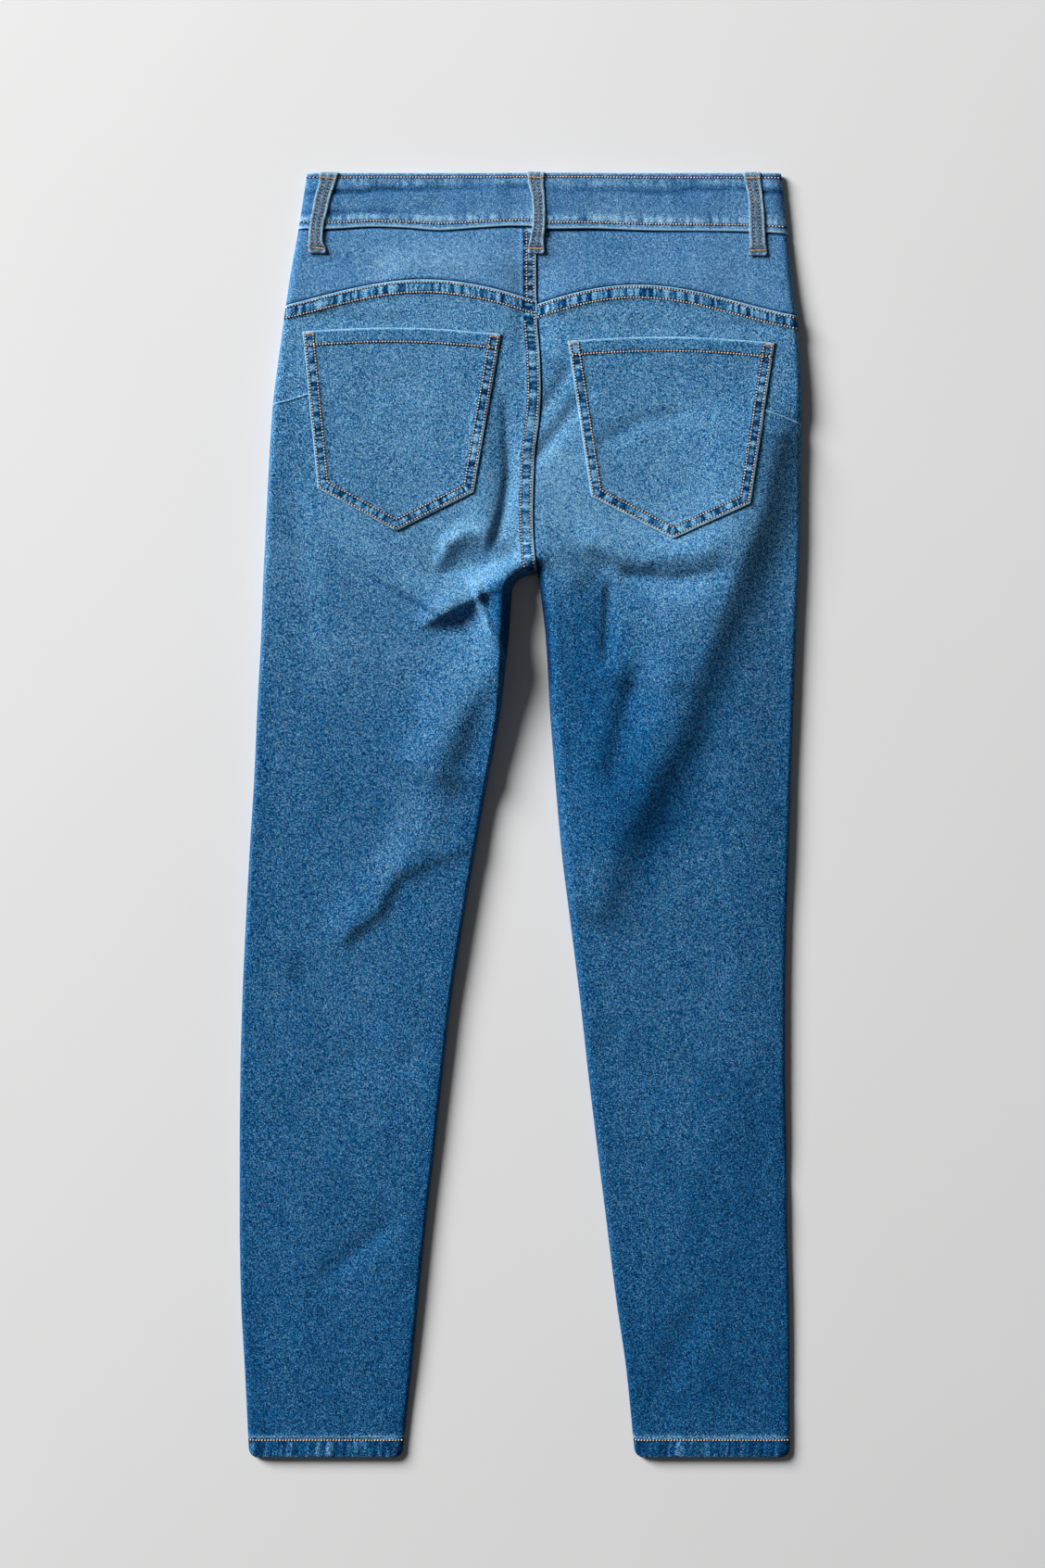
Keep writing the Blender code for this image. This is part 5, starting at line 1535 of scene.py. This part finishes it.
def stitches(name, rows, seed, look=TAN, radius=STITCH_RADIUS, length=STITCH_LENGTH, sink=0.25, hole=HOLE):
    """One mesh of stitches. Each row is: the piece it lies on, its path, the pitch, whether it
    lies on the upper side, and how far each stitch is turned from the path, in degrees. Where
    the thread dives into the cloth, between two stitches, a small near-black disc paints the
    shade inside the needle hole."""
    rng = np.random.default_rng(seed)
    turns = [(math.cos(a), math.sin(a)) for a in np.linspace(0, 2 * math.pi, STITCH_SIDES, endpoint=False)]
    bm = bmesh.new()
    for piece, path, pitch, upper, angle in rows:
        for place, heading in zip(*walk(path, pitch)):
            point, normal = drop(piece, place, upper)
            if point is None:
                continue
            point, normal = np.array(point), np.array(normal)
            normal = normal * (1 if (normal[2] > 0) == upper else -1)
            turned = math.radians(angle + rng.normal(0, 4))
            c, s = math.cos(turned), math.sin(turned)
            heading = np.array([heading[0] * c - heading[1] * s, heading[0] * s + heading[1] * c, 0.0])
            heading -= normal * (heading @ normal)
            heading /= np.linalg.norm(heading)
            across = np.cross(normal, heading)
            if hole:
                rim = [bm.verts.new(point + normal * 0.00014 + heading * (hole * c - pitch / 2)
                                    + across * 1.25 * hole * s) for c, s in turns]
                middle = bm.verts.new(point + normal * 0.00030 - heading * pitch / 2)
                for a, b in zip(rim, rim[1:] + rim[:1]):
                    bm.faces.new((middle, a, b)).material_index = 1
            size = radius * (1 + rng.normal(0, 0.08))
            centre = point + normal * size * (1 - 2 * sink)
            half = length / 2 * (1 + rng.normal(0, 0.05))
            loops = []
            for t, r in BEAD:
                arch = centre - normal * size * 0.9 * t * t
                loops.append([bm.verts.new(arch + heading * half * t + size * r * (across * c + normal * s))
                              for c, s in turns])
            for a, b in zip(loops[:-1], loops[1:]):
                ring_faces(bm, a, b)
            bm.faces.new(loops[0][::-1])
            bm.faces.new(loops[-1])
    bmesh.ops.recalc_face_normals(bm, faces=bm.faces)
    for vert in bm.verts:
        vert.co.z = max(vert.co.z, 0.00002)
    THREADS.append(name)
    return add_mesh(name, bm, look, HOLE_PAINTED_SHADE)


# %% [markdown]
# ## Where the rows of stitches run
# Each row keeps its distance from an edge: two millimetres for the first row, eight to ten for
# the second. The paths come from the same curves as the edges, so they can't drift apart.

# %% Rows of stitches on the legs, yokes and pockets
SHARES = np.linspace(0.0, 1.0, 160)
POCKET_ROW_TOP = 0.0026   # the rows round a pocket start this far below its top edge
SEAT_ROW_TOP = 0.383      # y where the seat's rows start on the left leg
LEFT_YOKE_LAST = 0.985    # the left yoke's rows stop at this share, where the seat's begin


def stitch_row(piece, path, upper=True, pitch=PITCH, angle=STITCH_TURN):
    return piece, path, pitch, upper, angle


def beside_yoke(side, s, last):
    """A path at s below the yoke seam."""
    share = SHARES * last
    line = line_points(side, YOKE_LINE[side], share)
    line[:, 1] -= s / yoke_slope(side, share)
    return line


def beside_seat(s, top, bottom):
    y = np.linspace(top, bottom, 200)
    return np.column_stack([SEAT_X(y) - s, y])


def inset(corners, s, top_s):
    """The pocket's sides and bottom, moved in by s and starting top_s below its top edge."""
    corners = [np.array(c, float) for c in corners]
    outer_top, inner_top, inner_low, tip, outer_low = corners
    around = [outer_top, outer_low, tip, inner_low, inner_top]
    middle = sum(corners) / 5
    lines = []
    for a, b in zip(around[:-1], around[1:]):
        run = (b - a) / np.linalg.norm(b - a)
        normal = np.array([-run[1], run[0]])
        normal *= np.sign(normal @ (middle - a))
        lines.append((a + normal * s, run))
    path = []
    for (a, p), (b, q) in zip(lines[:-1], lines[1:]):
        t = np.linalg.solve(np.column_stack([p, -q]), b - a)
        path.append(a + p * t[0])
    start = lines[0][0] + lines[0][1] * top_s
    end = lines[-1][0] + lines[-1][1] * (np.linalg.norm(around[-1] - around[-2]) - top_s)
    return np.array([start, *path, end])


def pocket_rows(side):
    corners = POCKETS[side]
    across = pocket_top(corners, np.linspace(0.014, 0.986, 60))
    across[:, 1] -= POCKET_HEM_ROW
    across[:, 0] += np.linspace(0.0012, -0.0012, 60) * TOWARDS_MIDDLE[side]
    around = [inset(corners, s, POCKET_ROW_TOP) for s in (ROW_NEAR, POCKET_FAR_ROW)]
    return [stitch_row(f"pocket_{side}", path) for path in (*around, across)]


def leg_rows(side):
    name = f"leg_back_{side}"
    last = 1.0 if side == "right" else LEFT_YOKE_LAST
    rows = [stitch_row(name, beside_yoke(side, s, last)) for s in (ROW_NEAR, YOKE_FAR_ROW)]
    if side == "left":
        for s in (ROW_NEAR, SEAT_FAR_ROW):
            rows.append(stitch_row(name, beside_seat(s, SEAT_ROW_TOP - s, CROTCH_Y + 0.001)))
    return rows


for side in ("left", "right"):
    stitches(f"stitches_leg_{side}", leg_rows(side), 1)
    stitches(f"stitches_pocket_{side}", pocket_rows(side), 2)
YOKE_PATHS = [beside_seat(s, 0.4425, 0.3885) for s in (ROW_NEAR, SEAT_FAR_ROW - 0.002)]
stitches("stitches_yoke", [stitch_row("yoke_left", path) for path in YOKE_PATHS], 3)


# %% Rows of stitches on the waistband, hems and loops
def band_line(fall, first_x, last_x):
    """A path at this distance below the waistband's top edge."""
    x = np.linspace(first_x, last_x, 120)
    return np.column_stack([x, band_y(x, fall / BAND_WIDTH)])


def band_rows():
    rows = []
    for fall in BAND_ROWS:
        # The rows on the back stop at the loops, about 61.5 mm long to the band's 42 mm
        at = fall / BAND_WIDTH * 42 / 61.5
        stops = [-0.1600 - 0.006 * fall / BAND_WIDTH]
        for name, *_ in BACK_LOOPS:
            middle, half = float(LOOP_X[name](at)), float(LOOP_WIDE[name](at)) / 2
            stops += [middle - half, middle + half]
        stops += [0.1955 + 0.004 * fall / BAND_WIDTH]
        for start, stop in zip(stops[::2], stops[1::2]):
            rows.append(stitch_row("band", band_line(fall, start, stop)))
        for start, stop in ((-0.158, 0.041), (0.044, 0.193)):
            rows.append(stitch_row("band", band_line(fall, start, stop), upper=False))
    return rows


def hem_rows(side):
    y = HEM_TOP - HEM_ROW
    ends = sorted((float(OUTER[side](y)), float(INSEAM[side](y))))
    path = np.column_stack([np.linspace(ends[0] + 0.0006, ends[1] - 0.0006, 40), np.full(40, y)])
    return [stitch_row(f"cuff_{side}", path, upper) for upper in (True, False)]


def loop_row(name, bottom_y, side):
    share = np.linspace(0.09, 0.92, 30)
    x = LOOP_X[name](share) + side * LOOP_ROW * LOOP_WIDE[name](share) / 2
    path = np.column_stack([x, WAIST_TOP + (bottom_y - WAIST_TOP) * share])
    return stitch_row(f"loop_{name}", path, not name.startswith("front"), LOOP_PITCH, LOOP_TURN)


stitches("stitches_band", band_rows(), 4)
for side in ("left", "right"):
    stitches(f"stitches_hem_{side}", hem_rows(side), 5)
LOOP_ROWS = [loop_row(*row[:2], side) for row in BACK_LOOPS + FRONT_LOOPS for side in (-1, 1)]
stitches("stitches_loops", LOOP_ROWS, 6, look=RUST, radius=THIN_RADIUS, length=0.0014, hole=0.00045)

# %% [markdown]
# ## Bar tacks
# Where a loop or a pocket corner is pulled, the machine sews a dense bar of thread to and fro.
# It is the same bead as a stitch, laid side by side across the bar.


# %% Bar tacks
def bar(piece, start, stop, upper=True):
    return stitch_row(piece, [start, stop], upper, TACK_PITCH, TACK_TURN)


TACK_ROWS = []
for name, bottom_y, slope, _ in BACK_LOOPS + FRONT_LOOPS:
    length = WAIST_TOP - bottom_y
    for fall in (LOOP_TACK, length - LOOP_TACK):
        x, reach = float(LOOP_X[name](fall / length)), float(LOOP_WIDE[name](fall / length)) / 2 - 0.0008
        y = WAIST_TOP - fall
        ends = (x - reach, y - slope / 2), (x + reach, y + slope / 2)
        TACK_ROWS.append(bar(f"loop_{name}", *ends, not name.startswith("front")))
for side, corners in POCKETS.items():
    for corner, towards in ((0, 1.0), (1, -1.0)):
        inwards = TOWARDS_MIDDLE[side] * towards
        x, y = corners[corner]
        ends = (x + inwards * 0.0016, y - 0.0024), (x + inwards * 0.0088, y - 0.0020)
        TACK_ROWS.append(bar(f"pocket_{side}", *ends))
stitches("bar_tacks", TACK_ROWS, 7, look=RUST, radius=THIN_RADIUS, length=0.0015, sink=0.15, hole=None)

# %% [markdown]
# ## Button
# The jeans button lies face down between the band and the table. A turned cap with a rolled rim
# and a dimple is one profile carried round by a Screw modifier.

# %% Button
BUTTON_STEPS = 48
BUTTON_PROFILE = [(0.0, 0.0018), (0.0052, 0.0018), (0.0078, 0.0014), (0.0085, 0.0009), (0.0084, 0.0005),
                  (0.0079, 0.0002), (0.0072, 0.0001), (0.0064, 0.0003), (0.0060, 0.0006), (0.0030, 0.0005),
                  (0.0020, 0.0007), (0.0, 0.0008)]


def brass():
    place, shade = finish_of("brushed old brass", Metallic=1.0)
    spots = place.noise(700.0, Detail=4.0)
    colour = spots.ramp([(0.35, from_srgb(96, 70, 42)), (0.65, from_srgb(176, 138, 90))])
    return shade(Base_Color=colour, Roughness=spots * 0.4 + 0.15)


def button():
    bm = bmesh.new()
    verts = [bm.verts.new((r, 0, z)) for r, z in BUTTON_PROFILE]
    for a, b in zip(verts[:-1], verts[1:]):
        bm.edges.new((a, b))
    made = add_mesh("jeans_button", bm, brass())
    made.location = (*BUTTON_AT, 0.0)
    turned = made.modifiers.new("turned", "SCREW")
    turned.steps = turned.render_steps = BUTTON_STEPS
    turned.use_merge_vertices = True
    turned.merge_threshold = 0.00005
    turned.use_smooth_shade = True
    return made


BUTTON = button()
print("button at", [round(v, 4) for v in BUTTON.location])

# %% [markdown]
# ## Tie the pieces to the frame
# Every piece stands for its solid, which stays for collision.

# %% Riding, and hiding the solids
REPLACED = {
    "leg_back_left": ["back_leg_left", "yoke_seam_left", "seat_seam"],
    "leg_back_right": ["back_leg_right", "yoke_seam_right"],
    "yoke_left": ["back_yoke_left", "seat_seam_yoke"],
    "yoke_right": ["back_yoke_right"],
    "leg_front_left": ["front_leg_left"],
    "leg_front_right": ["front_leg_right"],
    "pocket_left": ["back_pocket_left"],
    "pocket_right": ["back_pocket_right"],
    "band": ["waistband"],
    "cuff_left": ["hem_left"],
    "cuff_right": ["hem_right"],
    "jeans_button": ["waist_button"],
    **{f"loop_{row[0]}": [f"belt_loop_{row[0]}"] for row in BACK_LOOPS + FRONT_LOOPS},
}
for name in [*REPLACED, *THREADS, *(made.name for made in HIPS)]:
    piece = bpy.data.objects[name]
    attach(piece, "root")
    if name in REPLACED:
        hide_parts(*REPLACED[name])
    "brass" if name == "jeans_button" else "denim"

# %% [markdown]
# ## Table, light and camera
# The photograph looks straight down on a pale table in soft light from the upper left, which
# leaves short soft shadows on the right of each edge. One large area light gives them, and an
# even pale sky fills the rest.

# %% Table
def table_top():
    place, shade = finish_of("pale table", Roughness=0.85, Specular_IOR_Level=0.1)
    tone = place.noise(3.0, Detail=3.0)
    return shade(Base_Color=tone.ramp([(0.3, (0.790, 0.788, 0.787)), (0.7, (0.803, 0.802, 0.802))]))


bm = bmesh.new()
bmesh.ops.create_grid(bm, x_segments=8, y_segments=8, size=5.0)
TABLE = add_mesh("table", bm, table_top())

# %% Light
world = bpy.data.worlds.new("studio")
world.use_nodes = True
world.node_tree.nodes["Background"].inputs["Color"].default_value = (1.0, 1.0, 1.0, 1.0)
world.node_tree.nodes["Background"].inputs["Strength"].default_value = 0.058
bpy.context.scene.world = world


def area_light(name, place, aim, size, power):
    lamp = bpy.data.lights.new(name, "AREA")
    lamp.shape = "DISK"
    lamp.size = size
    lamp.energy = power
    made = bpy.data.objects.new(name, lamp)
    made.location = place
    made.rotation_euler = (Vector(aim) - Vector(place)).to_track_quat("-Z", "Y").to_euler()
    bpy.context.scene.collection.objects.link(made)
    print("light:", name, size, "m across,", power, "W")


area_light("window", (-6.30, 4.58, 4.30), (0.0, 0.0, 0.0), 4.5, 1440.0)

# %% Camera
CAMERA_DISTANCE = 2.5
VIEW_HEIGHT = 1.1844      # metres of table from the top of the picture to its bottom
SENSOR = 36.0             # the camera's usual sensor, in millimetres
camera = bpy.data.cameras.new("camera")
camera.sensor_width = SENSOR
camera.lens = SENSOR * CAMERA_DISTANCE / VIEW_HEIGHT
camera.clip_end = 50.0
eye = bpy.data.objects.new("camera", camera)
eye.location = (0.0014, 0.0238, CAMERA_DISTANCE + 0.005)
bpy.context.scene.collection.objects.link(eye)
bpy.context.scene.camera = eye
bpy.context.scene.view_settings.view_transform = "Standard"
print("camera lens:", round(camera.lens, 1), "mm")
